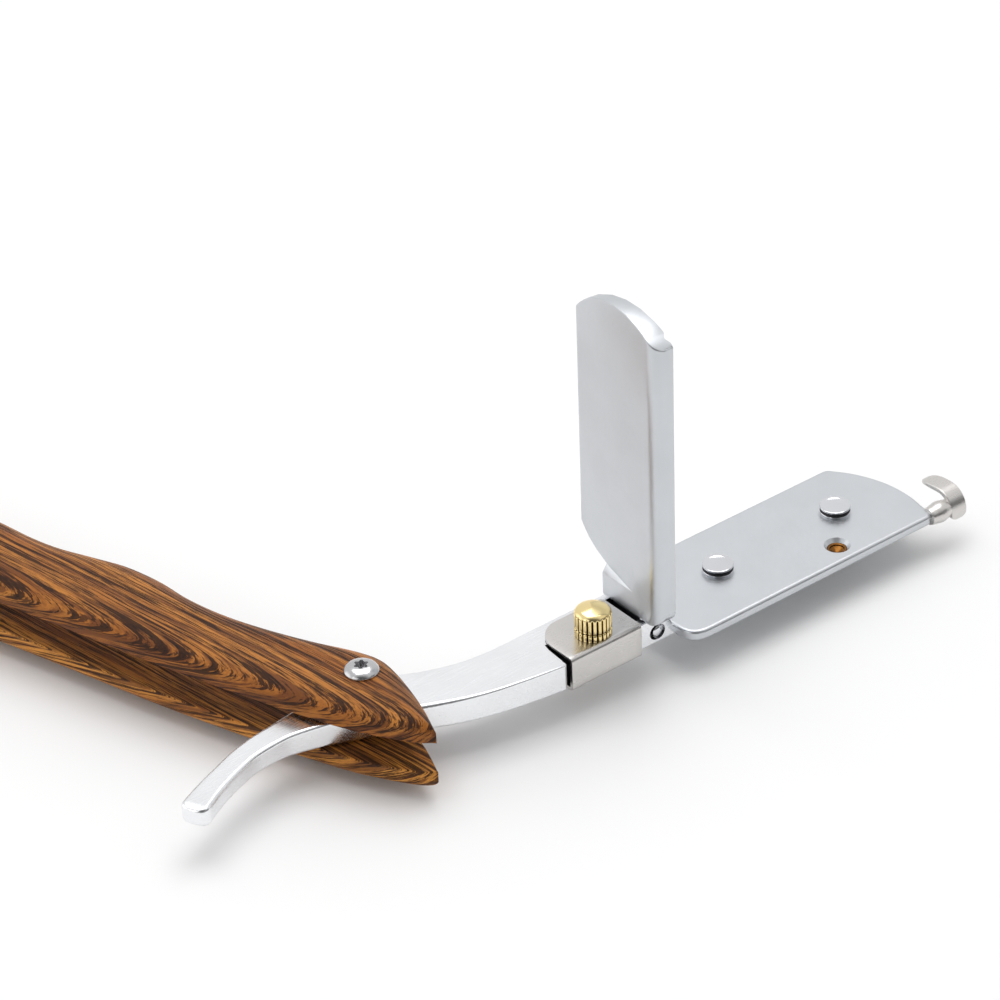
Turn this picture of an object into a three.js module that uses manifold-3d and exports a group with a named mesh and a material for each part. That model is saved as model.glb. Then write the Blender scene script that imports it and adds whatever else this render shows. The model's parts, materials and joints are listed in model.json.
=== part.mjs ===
// A folding straight razor that takes half of a double-edge blade.
//
// The steel side is a curved tang that carries a bed plate at its nose. A clamp plate is hinged
// to the tang's fork and swings down over the bed to hold the blade, and a sheet lock sleeve with
// a brass thumb knob slides along the tang behind the hinge. The tang turns between two wooden
// scales on a pivot screw, and the scales meet again at a spacer at the butt.
//
// Every length is in millimetres. The razor is drawn around its hinge: X runs from the hinge
// towards the nose, Y from the spine side towards the cutting edge, and Z up, with the
// underside of the tang and of the bed at Z = 0. The last lines move the origin to the middle
// of the blade seat.

import * as THREE from 'three';
import { mergeVertices } from 'three/addons/utils/BufferGeometryUtils.js';
import Module from 'manifold-3d';

const wasm = await Module();
wasm.setup();

// ---------------------------------------------------------------------------------------------
// Driving dimensions
// ---------------------------------------------------------------------------------------------

const CIRCLE = 28; // sides of a turned piece

// steel side
const TANG_TOP = 4.4; // thickness of the tang
const HINGE_Z = 1.8; // height of the clamp's hinge pin
const BED_TOP = 1.6; // thickness of the bed plate
const SPINE_Y = -4; // spine side of both plates
const EDGE_Y = 16; // cutting side of both plates
const BLADE_GAP = 0.15; // room between the closed plates

// fork that carries the hinge pin
const FORK_BACK_Y = 9.7;
const CHEEK = 1.3; // thickness of each cheek
const SLOT_BACK_X = -3.4;
const FORK_NOSE_X = 3;
const KNUCKLE_R = 2.6; // rounded front of the cheeks
const PIN_R = 1.15;

// nose arcs of the plates: foremost point and radius
const BED_NOSE_X = 52.1;
const BED_NOSE = { x: BED_NOSE_X, y: 3.5, radius: 18 };
const CLAMP_NOSE = { x: 53.4, y: 5, radius: 14.5 };

// blade seat
const SEAT_Y = 6.5;
const STUD_X = [17, 40.5];
const STUD_R = 2.35;
const STUD_HEIGHT = 1.2;
const HOLE_X = 34.6;
const HOLE_Y = -0.4;

// clamp plate, measured as it lies closed
const CLAMP_THIN = 1.2; // at the cutting side
const CLAMP_THICK = 3.5; // at the spine
const ROOT_X = 2.95;
const ROOT_THICK = 2.7;
const ROOT_EDGE_Y = 9.4;

// lock sleeve and knob
const SLEEVE_BACK_X = -16.6;
const SLEEVE_FRONT_X = -3.7;
const SLEEVE_FACE_Y = -0.6;
const SLEEVE_FLANGE_Y = 8.3;
const SHEET = 0.6;
const SLIDE_CLEARANCE = 0.1;
const KNOB_X = -10.1;
const KNOB_Y = 2.6;
const KNOB_R = 2.75;

// handle
const PIVOT_X = -43.6;
const PIVOT_Y = 13;
const HANDLE_ANGLE = THREE.MathUtils.degToRad(109);
const GAP_BOTTOM = -0.3; // inner face of the lower scale
const GAP_TOP = 4.7; // inner face of the upper scale
const SCALE_THICK = 4;
const BARREL_R = 1.6;
const BUTT_SCREW = [118, 1.2]; // from the pivot, along and across the handle
const PIVOT = [0, 0];

// ---------------------------------------------------------------------------------------------
// Materials
// ---------------------------------------------------------------------------------------------

const metal = (color, roughness) => new THREE.MeshStandardMaterial({ color, roughness, metalness: 1 });
const brushedSteel = () => metal(0xdfe3e8, 0.28);
const satinSteel = () => metal(0xc9ced6, 0.4);
const warmSteel = () => metal(0xc9c6c4, 0.42);
const polishedSteel = () => metal(0xe6e9ee, 0.12);
const brass = () => metal(0xd8b65a, 0.18);
const wood = () => new THREE.MeshStandardMaterial({ color: 0xa0602c, roughness: 0.5, metalness: 0 });

// ---------------------------------------------------------------------------------------------
// Helpers
// ---------------------------------------------------------------------------------------------

// A closed geometry as a solid that can be joined and cut.
function solid(geometry) {
  const bare = geometry.clone();
  bare.deleteAttribute('normal');
  bare.deleteAttribute('uv');
  const merged = mergeVertices(bare, 1e-5);
  const corners = Array.from(merged.index.array);
  const kept = [];
  for (let i = 0; i < corners.length; i += 3) {
    const [a, b, c] = corners.slice(i, i + 3);
    if (a !== b && b !== c && c !== a) kept.push(a, b, c);
  }
  return new wasm.Manifold(new wasm.Mesh({
    numProp: 3,
    vertProperties: new Float32Array(merged.attributes.position.array),
    triVerts: new Uint32Array(kept),
  }));
}

// A solid back as a geometry.
function geometryOf(body) {
  const mesh = body.getMesh();
  const geometry = new THREE.BufferGeometry();
  geometry.setAttribute('position', new THREE.BufferAttribute(new Float32Array(mesh.vertProperties), 3));
  geometry.setIndex(Array.from(mesh.triVerts));
  return geometry;
}

function box(x0, x1, y0, y1, z0, z1) {
  const geometry = new THREE.BoxGeometry(x1 - x0, y1 - y0, z1 - z0);
  return geometry.translate((x0 + x1) / 2, (y0 + y1) / 2, (z0 + z1) / 2);
}

// A piece turned about Z. The profile is a list of [radius, z], from the axis out and back.
function turned(profile, x = 0, y = 0) {
  const points = profile.map(([r, z]) => new THREE.Vector2(r, z));
  return new THREE.LatheGeometry(points, CIRCLE).rotateX(Math.PI / 2).translate(x, y, 0);
}

function rod(radius, z0, z1, x = 0, y = 0) {
  return turned([[0, z0], [radius, z0], [radius, z1], [0, z1]], x, y);
}

function ring(inner, outer, z0, z1, x = 0, y = 0) {
  return turned([[inner, z0], [outer, z0], [outer, z1], [inner, z1], [inner, z0]], x, y);
}

// A cylinder along Y at the hinge axis.
function hingeRod(radius, y0, y1) {
  return rod(radius, y0, y1).rotateX(-Math.PI / 2).translate(0, 0, HINGE_Z);
}

// An outline in X and Y, raised from z0 to z1, with its edges rounded off by round.
function plate(shape, z0, z1, round = 0, steps = 2) {
  const geometry = new THREE.ExtrudeGeometry(shape, {
    depth: z1 - z0 - 2 * round,
    bevelEnabled: round > 0,
    bevelThickness: round,
    bevelSize: round,
    bevelOffset: -round,
    bevelSegments: steps,
    curveSegments: 12,
  });
  return geometry.translate(0, 0, z0 + round);
}

// An outline drawn in X and Z, extruded along Y from y0 to y1.
function sideProfile(shape, y0, y1) {
  const geometry = new THREE.ExtrudeGeometry(shape, { depth: y1 - y0, bevelEnabled: false, curveSegments: 12 });
  return geometry.rotateX(Math.PI / 2).translate(0, y1, 0);
}

function spline(points) {
  return new THREE.CatmullRomCurve3(points.map(([x, y]) => new THREE.Vector3(x, y, 0)), false, 'centripetal');
}

function named(name, geometry, material) {
  const mesh = new THREE.Mesh(geometry, material);
  mesh.name = name;
  return mesh;
}

// ---------------------------------------------------------------------------------------------
// Tang: one forging that runs from the fork past the sleeve and the pivot to the tail
// ---------------------------------------------------------------------------------------------

// Centre line and width of the tang, from the shoulder behind the sleeve to the tail.
const TANG_LINE = [
  [-17.3, 4.7], [-24, 5.25], [-30, 6.4], [-36, 8.7], [-43.6, 12.6], [-51, 14],
  [-57, 14.4], [-63, 13.8], [-68, 12.1], [-72, 10.4], [-75.4, 8.6],
];
const TANG_WIDTH = [10, 9, 8.6, 8.5, 8.9, 5.9, 4, 3.7, 3.6, 3.6, 3.6];

function tangOutline() {
  const centre = spline(TANG_LINE);
  const steps = 40;
  const spineSide = [];
  const edgeSide = [];
  for (let i = 0; i <= steps; i += 1) {
    const along = i / steps;
    const point = centre.getPoint(along);
    const tangent = centre.getTangent(along);
    const place = along * (TANG_WIDTH.length - 1);
    const k = Math.min(Math.floor(place), TANG_WIDTH.length - 2);
    const half = THREE.MathUtils.lerp(TANG_WIDTH[k], TANG_WIDTH[k + 1], place - k) / 2;
    const across = new THREE.Vector2(-tangent.y, tangent.x).multiplyScalar(half);
    spineSide.push(new THREE.Vector2(point.x + across.x, point.y + across.y));
    edgeSide.push(new THREE.Vector2(point.x - across.x, point.y - across.y));
  }
  const shape = new THREE.Shape();
  shape.moveTo(-17.3, -0.3);
  spineSide.slice(1).forEach((p) => shape.lineTo(p.x, p.y));
  const tip = spineSide[steps];
  const far = edgeSide[steps];
  const bulge = new THREE.Vector2(tip.y - far.y, far.x - tip.x).multiplyScalar(0.55);
  shape.bezierCurveTo(tip.x + bulge.x, tip.y + bulge.y, far.x + bulge.x, far.y + bulge.y, far.x, far.y);
  edgeSide.slice(1, steps).reverse().forEach((p) => shape.lineTo(p.x, p.y));
  shape.lineTo(-17.3, FORK_BACK_Y);
  shape.closePath();
  return shape;
}

// Side view of the whole tang: full height to the pivot, thinner at the tail, rounded over the pin.
function tangSide() {
  const shape = new THREE.Shape();
  shape.moveTo(FORK_NOSE_X, 0);
  shape.lineTo(FORK_NOSE_X, BED_TOP);
  shape.lineTo(KNUCKLE_R, BED_TOP + 0.2);
  shape.absarc(0, HINGE_Z, KNUCKLE_R, 0, Math.PI / 2, false);
  shape.lineTo(-47, TANG_TOP);
  shape.bezierCurveTo(-54, TANG_TOP, -57, 3.95, -80, 3.85);
  shape.lineTo(-80, 0.8);
  shape.bezierCurveTo(-57, 0.75, -54, 0, -47, 0);
  shape.closePath();
  return shape;
}

const TANG_WAIST_Y = 0.1; // spine side of the reduced length that the sleeve rides on
const GUIDE_SLOT_BACK_X = KNOB_X - 2.2;
const GUIDE_SLOT_FRONT_X = SLOT_BACK_X - 0.6;
const GUIDE_SLOT_HALF = 1.05;
const GUIDE_SLOT_FLOOR = 2.4;
const BUSH_OUTER_R = 2.6;

function tang() {
  const shaft = solid(plate(tangOutline(), 0, TANG_TOP, 0.35));
  const neck = solid(box(-17.3, FORK_NOSE_X, TANG_WAIST_Y, FORK_BACK_Y, 0, TANG_TOP));
  const slot = box(SLOT_BACK_X, FORK_NOSE_X + 1, TANG_WAIST_Y + CHEEK, FORK_BACK_Y - CHEEK, -1, TANG_TOP + 1);
  const guide = box(GUIDE_SLOT_BACK_X, GUIDE_SLOT_FRONT_X, KNOB_Y - GUIDE_SLOT_HALF, KNOB_Y + GUIDE_SLOT_HALF,
    GUIDE_SLOT_FLOOR, TANG_TOP + 1);
  const body = shaft.add(neck)
    .intersect(solid(sideProfile(tangSide(), -10, 30)))
    .subtract(solid(slot))
    .subtract(solid(guide))
    .subtract(solid(hingeRod(PIN_R + 0.1, -1, FORK_BACK_Y + 1)))
    .subtract(solid(hingeRod(PIN_R + 0.25, -1, TANG_WAIST_Y + 0.5)))
    .subtract(solid(rod(BUSH_OUTER_R, -1, TANG_TOP + 1, PIVOT_X, PIVOT_Y)));
  return named('tang', geometryOf(body), brushedSteel());
}

function hingePin() {
  return named('hinge_pin', hingeRod(PIN_R, TANG_WAIST_Y + 0.15, FORK_BACK_Y - 0.1), polishedSteel());
}

// ---------------------------------------------------------------------------------------------
// Bed plate, with its two blade studs and the brass-lined dowel hole
// ---------------------------------------------------------------------------------------------

// Outline shared by the bed and the closed clamp. backX is its straight rear end, rootY the edge
// side of the narrow part behind shoulderX, noseStartY the spine end of its nose arc, and
// addNoseCorner draws the way from the spine to that point.
function plateOutline(backX, rearSpineY, rootY, shoulderX, nose, noseStartY, addNoseCorner) {
  const centreX = nose.x - nose.radius;
  const angleAt = (y) => Math.asin((y - nose.y) / nose.radius);
  const arcX = (y) => centreX + nose.radius * Math.cos(angleAt(y));
  const farY = EDGE_Y - 0.9;
  const shape = new THREE.Shape();
  shape.moveTo(backX, rearSpineY);
  shape.bezierCurveTo(backX + 0.1, SPINE_Y + 1, backX + 1.1, SPINE_Y, backX + 4.2, SPINE_Y);
  addNoseCorner(shape, arcX(noseStartY));
  shape.absarc(centreX, nose.y, nose.radius, angleAt(noseStartY), angleAt(farY), false);
  shape.quadraticCurveTo(arcX(farY) - 0.5, EDGE_Y, arcX(farY) - 1.6, EDGE_Y);
  shape.lineTo(shoulderX + 4, EDGE_Y);
  shape.bezierCurveTo(shoulderX + 2, EDGE_Y - 1.6, shoulderX + 0.6, rootY + 2.4, shoulderX, rootY);
  shape.lineTo(backX, rootY);
  shape.closePath();
  return shape;
}

const BUSH_R = 1.1;
const STUD_SHANK_R = 1.2;

function bedPlate() {
  const hookSeatY = -0.6; // the nose is straight from here to the spine, where the hook is fixed
  const corner = 1.7;
  const outline = plateOutline(FORK_NOSE_X, -0.2, FORK_BACK_Y, 7, BED_NOSE, hookSeatY, (shape, seatX) => {
    shape.lineTo(seatX - 0.2 - corner, SPINE_Y);
    shape.quadraticCurveTo(seatX - 0.2, SPINE_Y, seatX - 0.2, SPINE_Y + corner);
    shape.lineTo(seatX, hookSeatY);
  });
  let body = solid(plate(outline, 0, BED_TOP, 0.35));
  const rear = box(FORK_NOSE_X, FORK_NOSE_X + 0.6, TANG_WAIST_Y, FORK_BACK_Y, 0, BED_TOP);
  body = body.add(solid(rear));
  for (const x of STUD_X) body = body.subtract(solid(rod(STUD_SHANK_R + 0.03, -1, 3, x, SEAT_Y)));
  const dowelHole = turned([[0, -1], [1.53, -1], [1.53, 1], [1.95, BED_TOP], [1.95, 3], [0, 3]], HOLE_X, HOLE_Y);
  const hookHole = rod(0.5, -2.5, 1).rotateY(Math.PI / 2).translate(BED_NOSE_X, HOOK_Y, HOOK_Z);
  body = body.subtract(solid(dowelHole)).subtract(solid(hookHole));
  return named('bed_plate', geometryOf(body), satinSteel());
}

// Headed stud that fills the blade's end hole. Its shank is riveted through the bed.
function bladeStud(name, x) {
  const top = BED_TOP + STUD_HEIGHT;
  const profile = [
    [0, 0.1], [STUD_SHANK_R, 0.1], [STUD_SHANK_R, BED_TOP], [STUD_R, BED_TOP],
    [STUD_R, top - 0.2], [STUD_R - 0.2, top], [STUD_R - 0.55, top], [STUD_R - 0.75, top - 0.1], [0, top - 0.1],
  ];
  return named(name, turned(profile, x, SEAT_Y), polishedSteel());
}

// Brass cup that takes the end of the clamp's dowel.
function dowelBush() {
  const profile = [[0, 0.1], [1.5, 0.1], [1.5, 1], [BUSH_R, 0.9], [BUSH_R, 0.5], [0, 0.45]];
  return named('dowel_bush', turned(profile, HOLE_X, HOLE_Y), brass());
}

// ---------------------------------------------------------------------------------------------
// Nose hook: a waisted round stem that ends in a flat strip curled over towards the edge side
// ---------------------------------------------------------------------------------------------

const HOOK_Y = -3.1;
const HOOK_Z = 0.8;
const HOOK_STRIP = [54.4, 57.4];
const HOOK_STEM_R = 1.7;

function noseHook() {
  const base = BED_NOSE_X - 0.6;
  const stemProfile = [
    [0, base - 1.6], [0.45, base - 1.6], [0.45, base], [1.45, base],
    [HOOK_STEM_R, base + 0.8], [HOOK_STEM_R, base + 1.4],
    [1.5, base + 2.3], [1.45, base + 3.05], [0, base + 3.05],
  ];
  const stem = turned(stemProfile).rotateY(Math.PI / 2).translate(0, HOOK_Y, HOOK_Z);
  const centre = new THREE.Vector2(-1.3, 0.15);
  const outer = 3.35;
  const thick = 0.75;
  const strip = new THREE.Shape();
  strip.moveTo(centre.x - outer, -0.8);
  strip.absarc(centre.x, centre.y, outer, Math.PI, Math.PI / 2, true);
  strip.bezierCurveTo(0.3, centre.y + outer, 1.8, 3.3, 2.9, 2.75);
  strip.lineTo(2.7, 2.15);
  strip.bezierCurveTo(1.6, 2.7, 0.2, centre.y + outer - thick, centre.x, centre.y + outer - thick);
  strip.absarc(centre.x, centre.y, outer - thick, Math.PI / 2, Math.PI, false);
  strip.lineTo(centre.x - outer + thick + 0.6, -0.8);
  strip.closePath();
  const curl = new THREE.ExtrudeGeometry(strip, {
    depth: HOOK_STRIP[1] - HOOK_STRIP[0], bevelEnabled: false, curveSegments: 14,
  }).rotateX(Math.PI / 2).rotateZ(Math.PI / 2).translate(HOOK_STRIP[0], 0, 0);
  const body = solid(stem).add(solid(curl));
  return named('nose_hook', geometryOf(body), warmSteel());
}

// ---------------------------------------------------------------------------------------------
// Clamp plate: drawn closed, along X from the hinge pin, then stood up in its group
// ---------------------------------------------------------------------------------------------

const CLAMP_FACE = BED_TOP + BLADE_GAP - HINGE_Z; // inner face, relative to the pin
const DOWEL_R = 0.9;

function clampGroup() {
  const outline = plateOutline(ROOT_X + 0.5, -0.4, ROOT_EDGE_Y, 8.2, CLAMP_NOSE, SPINE_Y, (shape, cornerX) => {
    shape.lineTo(cornerX, SPINE_Y);
  });
  const blank = solid(plate(outline, CLAMP_FACE, CLAMP_FACE + CLAMP_THICK));

  // wedge section with a rounded spine, drawn in Y and Z
  const wedge = new THREE.Shape();
  const top = CLAMP_FACE + CLAMP_THICK;
  wedge.moveTo(SPINE_Y + 0.4, CLAMP_FACE);
  wedge.lineTo(EDGE_Y, CLAMP_FACE);
  wedge.lineTo(EDGE_Y, CLAMP_FACE + CLAMP_THIN);
  wedge.lineTo(SPINE_Y + 0.7, top);
  wedge.bezierCurveTo(SPINE_Y + 0.3, top, SPINE_Y, top - 0.5, SPINE_Y, top - 1.5);
  wedge.lineTo(SPINE_Y, CLAMP_FACE + 0.5);
  wedge.closePath();
  const section = new THREE.ExtrudeGeometry(wedge, { depth: 70, bevelEnabled: false, curveSegments: 6 })
    .rotateX(Math.PI / 2).rotateZ(Math.PI / 2).translate(-5, 0, 0);

  // the root is a flat block that the sleeve can pass over, with a short ramp down to the plate
  const rootSide = new THREE.Shape();
  rootSide.moveTo(ROOT_X, CLAMP_FACE);
  rootSide.lineTo(ROOT_X, CLAMP_FACE + ROOT_THICK - 0.3);
  rootSide.lineTo(ROOT_X + 0.3, CLAMP_FACE + ROOT_THICK);
  rootSide.lineTo(6.9, CLAMP_FACE + ROOT_THICK);
  rootSide.lineTo(8.9, CLAMP_FACE + 1.5);
  rootSide.lineTo(8.9, CLAMP_FACE);
  rootSide.closePath();

  const knuckleY0 = TANG_WAIST_Y + CHEEK + 0.1;
  const knuckleY1 = FORK_BACK_Y - CHEEK - 0.1;
  const knuckleR = 1.7;
  const knuckle = rod(knuckleR, knuckleY0, knuckleY1).rotateX(-Math.PI / 2);
  const neck = box(0, ROOT_X + 0.3, knuckleY0, knuckleY1, CLAMP_FACE, knuckleR);
  const bore = rod(PIN_R + 0.05, -10, 20).rotateX(-Math.PI / 2);

  let body = blank.intersect(solid(section))
    .add(solid(sideProfile(rootSide, 0.6, ROOT_EDGE_Y)))
    .add(solid(knuckle))
    .add(solid(neck))
    .subtract(solid(bore));
  for (const x of STUD_X) body = body.subtract(solid(rod(STUD_R + 0.25, CLAMP_FACE - 1, CLAMP_FACE + 1.2, x, SEAT_Y)));
  body = body.subtract(solid(rod(DOWEL_R + 0.03, CLAMP_FACE - 1, CLAMP_FACE + 1.6, HOLE_X, HOLE_Y)));

  // the nose is relieved over the hook's stem
  const relief = rod(HOOK_STEM_R + 0.35, 0, 10).rotateY(Math.PI / 2)
    .translate(BED_NOSE_X - 0.8, HOOK_Y, HOOK_Z - HINGE_Z);
  body = body.subtract(solid(relief));

  const dowelProfile = [
    [0, CLAMP_FACE - 1.1], [DOWEL_R - 0.3, CLAMP_FACE - 1.1], [DOWEL_R, CLAMP_FACE - 0.7],
    [DOWEL_R, CLAMP_FACE + 1.5], [0, CLAMP_FACE + 1.5],
  ];

  const group = new THREE.Group();
  group.add(named('clamp_plate', geometryOf(body), satinSteel()));
  group.add(named('clamp_dowel', turned(dowelProfile, HOLE_X, HOLE_Y), polishedSteel()));
  group.position.z = HINGE_Z;
  group.rotation.y = -Math.PI / 2;
  return group;
}

// ---------------------------------------------------------------------------------------------
// Lock sleeve and its knob
// ---------------------------------------------------------------------------------------------

const SLEEVE_INNER_TOP = TANG_TOP + SLIDE_CLEARANCE;
const SLEEVE_TOP = SLEEVE_INNER_TOP + SHEET;

// Bent sheet, open on the edge side, that wraps the spine side of the tang.
function lockSleeve() {
  const corner = 4.2;
  const shape = new THREE.Shape();
  shape.moveTo(SLEEVE_BACK_X, SLEEVE_FACE_Y);
  shape.lineTo(SLEEVE_FRONT_X, SLEEVE_FACE_Y);
  shape.lineTo(SLEEVE_FRONT_X, SLEEVE_FLANGE_Y - 0.6);
  shape.quadraticCurveTo(SLEEVE_FRONT_X, SLEEVE_FLANGE_Y, SLEEVE_FRONT_X - 0.6, SLEEVE_FLANGE_Y);
  shape.lineTo(SLEEVE_BACK_X + corner, SLEEVE_FLANGE_Y);
  shape.absarc(SLEEVE_BACK_X + corner, SLEEVE_FLANGE_Y - corner, corner, Math.PI / 2, Math.PI, false);
  shape.closePath();

  // rounded bends along the spine side
  const outside = new THREE.Shape();
  const inside = new THREE.Shape();
  const bottom = -SLIDE_CLEARANCE - SHEET;
  for (const [path, inset, r] of [[outside, 0, 0.75], [inside, SHEET, 0.15]]) {
    path.moveTo(20, bottom + inset);
    path.lineTo(20, SLEEVE_TOP - inset);
    path.lineTo(SLEEVE_FACE_Y + inset + r, SLEEVE_TOP - inset);
    path.quadraticCurveTo(SLEEVE_FACE_Y + inset, SLEEVE_TOP - inset, SLEEVE_FACE_Y + inset, SLEEVE_TOP - inset - r);
    path.lineTo(SLEEVE_FACE_Y + inset, bottom + inset + r);
    path.quadraticCurveTo(SLEEVE_FACE_Y + inset, bottom + inset, SLEEVE_FACE_Y + inset + r, bottom + inset);
    path.closePath();
  }
  const along = (path, x0, x1) => new THREE.ExtrudeGeometry(path, { depth: x1 - x0, bevelEnabled: false, curveSegments: 5 })
    .rotateX(Math.PI / 2).rotateZ(Math.PI / 2).translate(x0, 0, 0);
  const body = solid(plate(shape, bottom, SLEEVE_TOP))
    .intersect(solid(along(outside, -30, 10)))
    .subtract(solid(along(inside, -31, 11)))
    .subtract(solid(rod(0.93, 3, 8, KNOB_X, KNOB_Y)));
  return named('lock_sleeve', geometryOf(body), warmSteel());
}

const SCREW_R = 0.85;
const COLLAR_TOP = SLEEVE_TOP + 1.25;
const KNOB_BOTTOM = COLLAR_TOP + 0.08;
const KNOB_SHOULDER = SLEEVE_TOP + 3.7;

// Outline of the fluted grip: a row of round ribs with narrow grooves between them.
function flutedOutline(radius, bore) {
  const flutes = 22;
  const shape = new THREE.Shape();
  const profile = [[0, 0.24], [0.22, 0], [0.78, 0], [0.99, 0.24]];
  for (let i = 0; i < flutes; i += 1) {
    for (const [part, depth] of profile) {
      const angle = ((i + part) / flutes) * 2 * Math.PI;
      const r = radius - depth;
      if (i === 0 && part === 0) shape.moveTo(r, 0);
      else shape.lineTo(r * Math.cos(angle), r * Math.sin(angle));
    }
  }
  shape.closePath();
  if (bore) {
    const hole = new THREE.Path();
    hole.absarc(0, 0, bore, 0, 2 * Math.PI, true);
    shape.holes.push(hole);
  }
  return shape;
}

function knobPieces() {
  const place = (geometry) => geometry.translate(KNOB_X, KNOB_Y, 0);
  const collar = place(plate(flutedOutline(KNOB_R, SCREW_R + 0.08), SLEEVE_TOP, COLLAR_TOP));
  const cap = solid(plate(flutedOutline(KNOB_R, 0), KNOB_BOTTOM, KNOB_SHOULDER + 2));
  const dome = turned([
    [0, KNOB_BOTTOM - 1], [KNOB_R + 0.1, KNOB_BOTTOM - 1], [KNOB_R + 0.1, KNOB_SHOULDER - 0.15], [2.62, KNOB_SHOULDER + 0.3],
    [2.1, KNOB_SHOULDER + 0.72], [1.3, KNOB_SHOULDER + 0.98], [0, KNOB_SHOULDER + 1.08],
  ]);
  const socket = rod(SCREW_R + 0.03, KNOB_BOTTOM - 1, KNOB_SHOULDER);
  const knob = place(geometryOf(cap.intersect(solid(dome)).subtract(solid(socket))));
  const screw = rod(SCREW_R, GUIDE_SLOT_FLOOR + 0.1, KNOB_SHOULDER - 0.1, KNOB_X, KNOB_Y);
  return [
    named('knob_collar', collar, brass()),
    named('thumb_knob', knob, brass()),
    named('lock_screw', screw, polishedSteel()),
  ];
}

// ---------------------------------------------------------------------------------------------
// Handle: drawn along X from the pivot, then turned open in its group
// ---------------------------------------------------------------------------------------------

function scaleOutline() {
  const mouthSide = spline([
    [118, -5], [106, -5.8], [92, -6.2], [80, -6.1], [70, -5.6], [62.8, -4.7], [57.6, -4.5], [51, -5.2], [45.5, -5.7],
    [39, -5.1], [33, -3.7], [26, -3], [19, -3.2], [11, -4.1], [4, -5.3], [0, -5.3], [-4, -3.6], [-10.8, 0.7],
    [-15.4, 4.4],
  ]);
  const backSide = spline([
    [-15.4, 4.4], [-13.4, 5.6], [-10, 6.7], [-3, 8.1], [4, 8.7], [14, 9.1], [30, 9.3], [50, 8.8], [66, 8.6], [84, 8.8],
    [104, 8.6], [118, 7.6],
  ]);
  const shape = new THREE.Shape();
  shape.setFromPoints(mouthSide.getSpacedPoints(44).map((p) => new THREE.Vector2(p.x, p.y)));
  backSide.getSpacedPoints(28).slice(1).forEach((p) => shape.lineTo(p.x, p.y));
  shape.bezierCurveTo(124, 7, 127.6, 4.6, 127.6, 1.2);
  shape.bezierCurveTo(127.6, -2.3, 124, -4.6, 118, -5);
  shape.closePath();
  return shape;
}

const SCREW_HEAD_R = 2.55;
const SCREW_HEAD_HEIGHT = 1.1;

function woodScale(name, z0, z1) {
  let body = solid(plate(scaleOutline(), z0, z1, 1));
  for (const [x, y] of [PIVOT, BUTT_SCREW]) body = body.subtract(solid(rod(BARREL_R + 0.05, z0 - 1, z1 + 1, x, y)));
  return named(name, geometryOf(body), wood());
}

const UPPER_FACE = GAP_TOP + SCALE_THICK;
const LOWER_FACE = GAP_BOTTOM - SCALE_THICK;

// Button-head screw with a driving recess, threaded into the barrel nut.
function buttonScrew(name, [x, y]) {
  const top = UPPER_FACE + SCREW_HEAD_HEIGHT;
  const head = solid(turned([
    [0, UPPER_FACE - 3.4], [0.95, UPPER_FACE - 3.4], [0.95, UPPER_FACE], [SCREW_HEAD_R, UPPER_FACE],
    [SCREW_HEAD_R, UPPER_FACE + 0.25], [2.2, UPPER_FACE + 0.72], [1.55, top - 0.1], [0.9, top], [0, top],
  ]));
  const recess = new THREE.Shape();
  const lobes = 6;
  for (let i = 0; i < lobes * 4; i += 1) {
    const angle = (i / (lobes * 4)) * 2 * Math.PI;
    const r = 0.92 + 0.16 * Math.cos(lobes * angle);
    if (i === 0) recess.moveTo(r, 0);
    else recess.lineTo(r * Math.cos(angle), r * Math.sin(angle));
  }
  recess.closePath();
  const screw = geometryOf(head.subtract(solid(plate(recess, top - 0.8, top + 1))));
  return named(name, screw.translate(x, y, 0), polishedSteel());
}

// Barrel nut: a flat domed head under the lower scale and a barrel up through the handle.
function barrelNut(name, [x, y]) {
  const profile = [
    [0, LOWER_FACE - 0.9], [1.6, LOWER_FACE - 0.9], [2.3, LOWER_FACE - 0.6], [SCREW_HEAD_R, LOWER_FACE - 0.2],
    [SCREW_HEAD_R, LOWER_FACE], [BARREL_R, LOWER_FACE], [BARREL_R, UPPER_FACE - 0.3], [1.02, UPPER_FACE - 0.3],
    [1.02, UPPER_FACE - 3.6], [0, UPPER_FACE - 3.6],
  ];
  return named(name, turned(profile, x, y), polishedSteel());
}

function handleGroup() {
  const group = new THREE.Group();
  const spacer = new THREE.Shape();
  spacer.moveTo(111, -4.4);
  spacer.lineTo(118, -4);
  spacer.bezierCurveTo(123, -3.6, 126, -1.6, 126, 1.2);
  spacer.bezierCurveTo(126, 4, 123, 6, 118, 6.4);
  spacer.lineTo(111, 6.8);
  spacer.quadraticCurveTo(114.5, 1.2, 111, -4.4);
  spacer.closePath();
  const spacerHole = rod(BARREL_R + 0.05, GAP_BOTTOM - 1, GAP_TOP + 1, ...BUTT_SCREW);
  const spacerBody = solid(plate(spacer, GAP_BOTTOM + 0.05, GAP_TOP - 0.05)).subtract(solid(spacerHole));
  group.add(
    woodScale('upper_scale', GAP_TOP, UPPER_FACE),
    woodScale('lower_scale', LOWER_FACE, GAP_BOTTOM),
    buttonScrew('pivot_screw', PIVOT),
    barrelNut('pivot_nut', PIVOT),
    named('upper_washer', ring(BARREL_R + 0.05, 3.6, TANG_TOP + 0.05, GAP_TOP - 0.03), brass()),
    named('lower_washer', ring(BARREL_R + 0.05, 3.6, GAP_BOTTOM + 0.03, -0.05), brass()),
    named('butt_spacer', geometryOf(spacerBody), wood()),
    buttonScrew('butt_screw', BUTT_SCREW),
    barrelNut('butt_nut', BUTT_SCREW),
  );
  group.position.set(PIVOT_X, PIVOT_Y, 0);
  group.rotation.z = HANDLE_ANGLE;
  return group;
}

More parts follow.
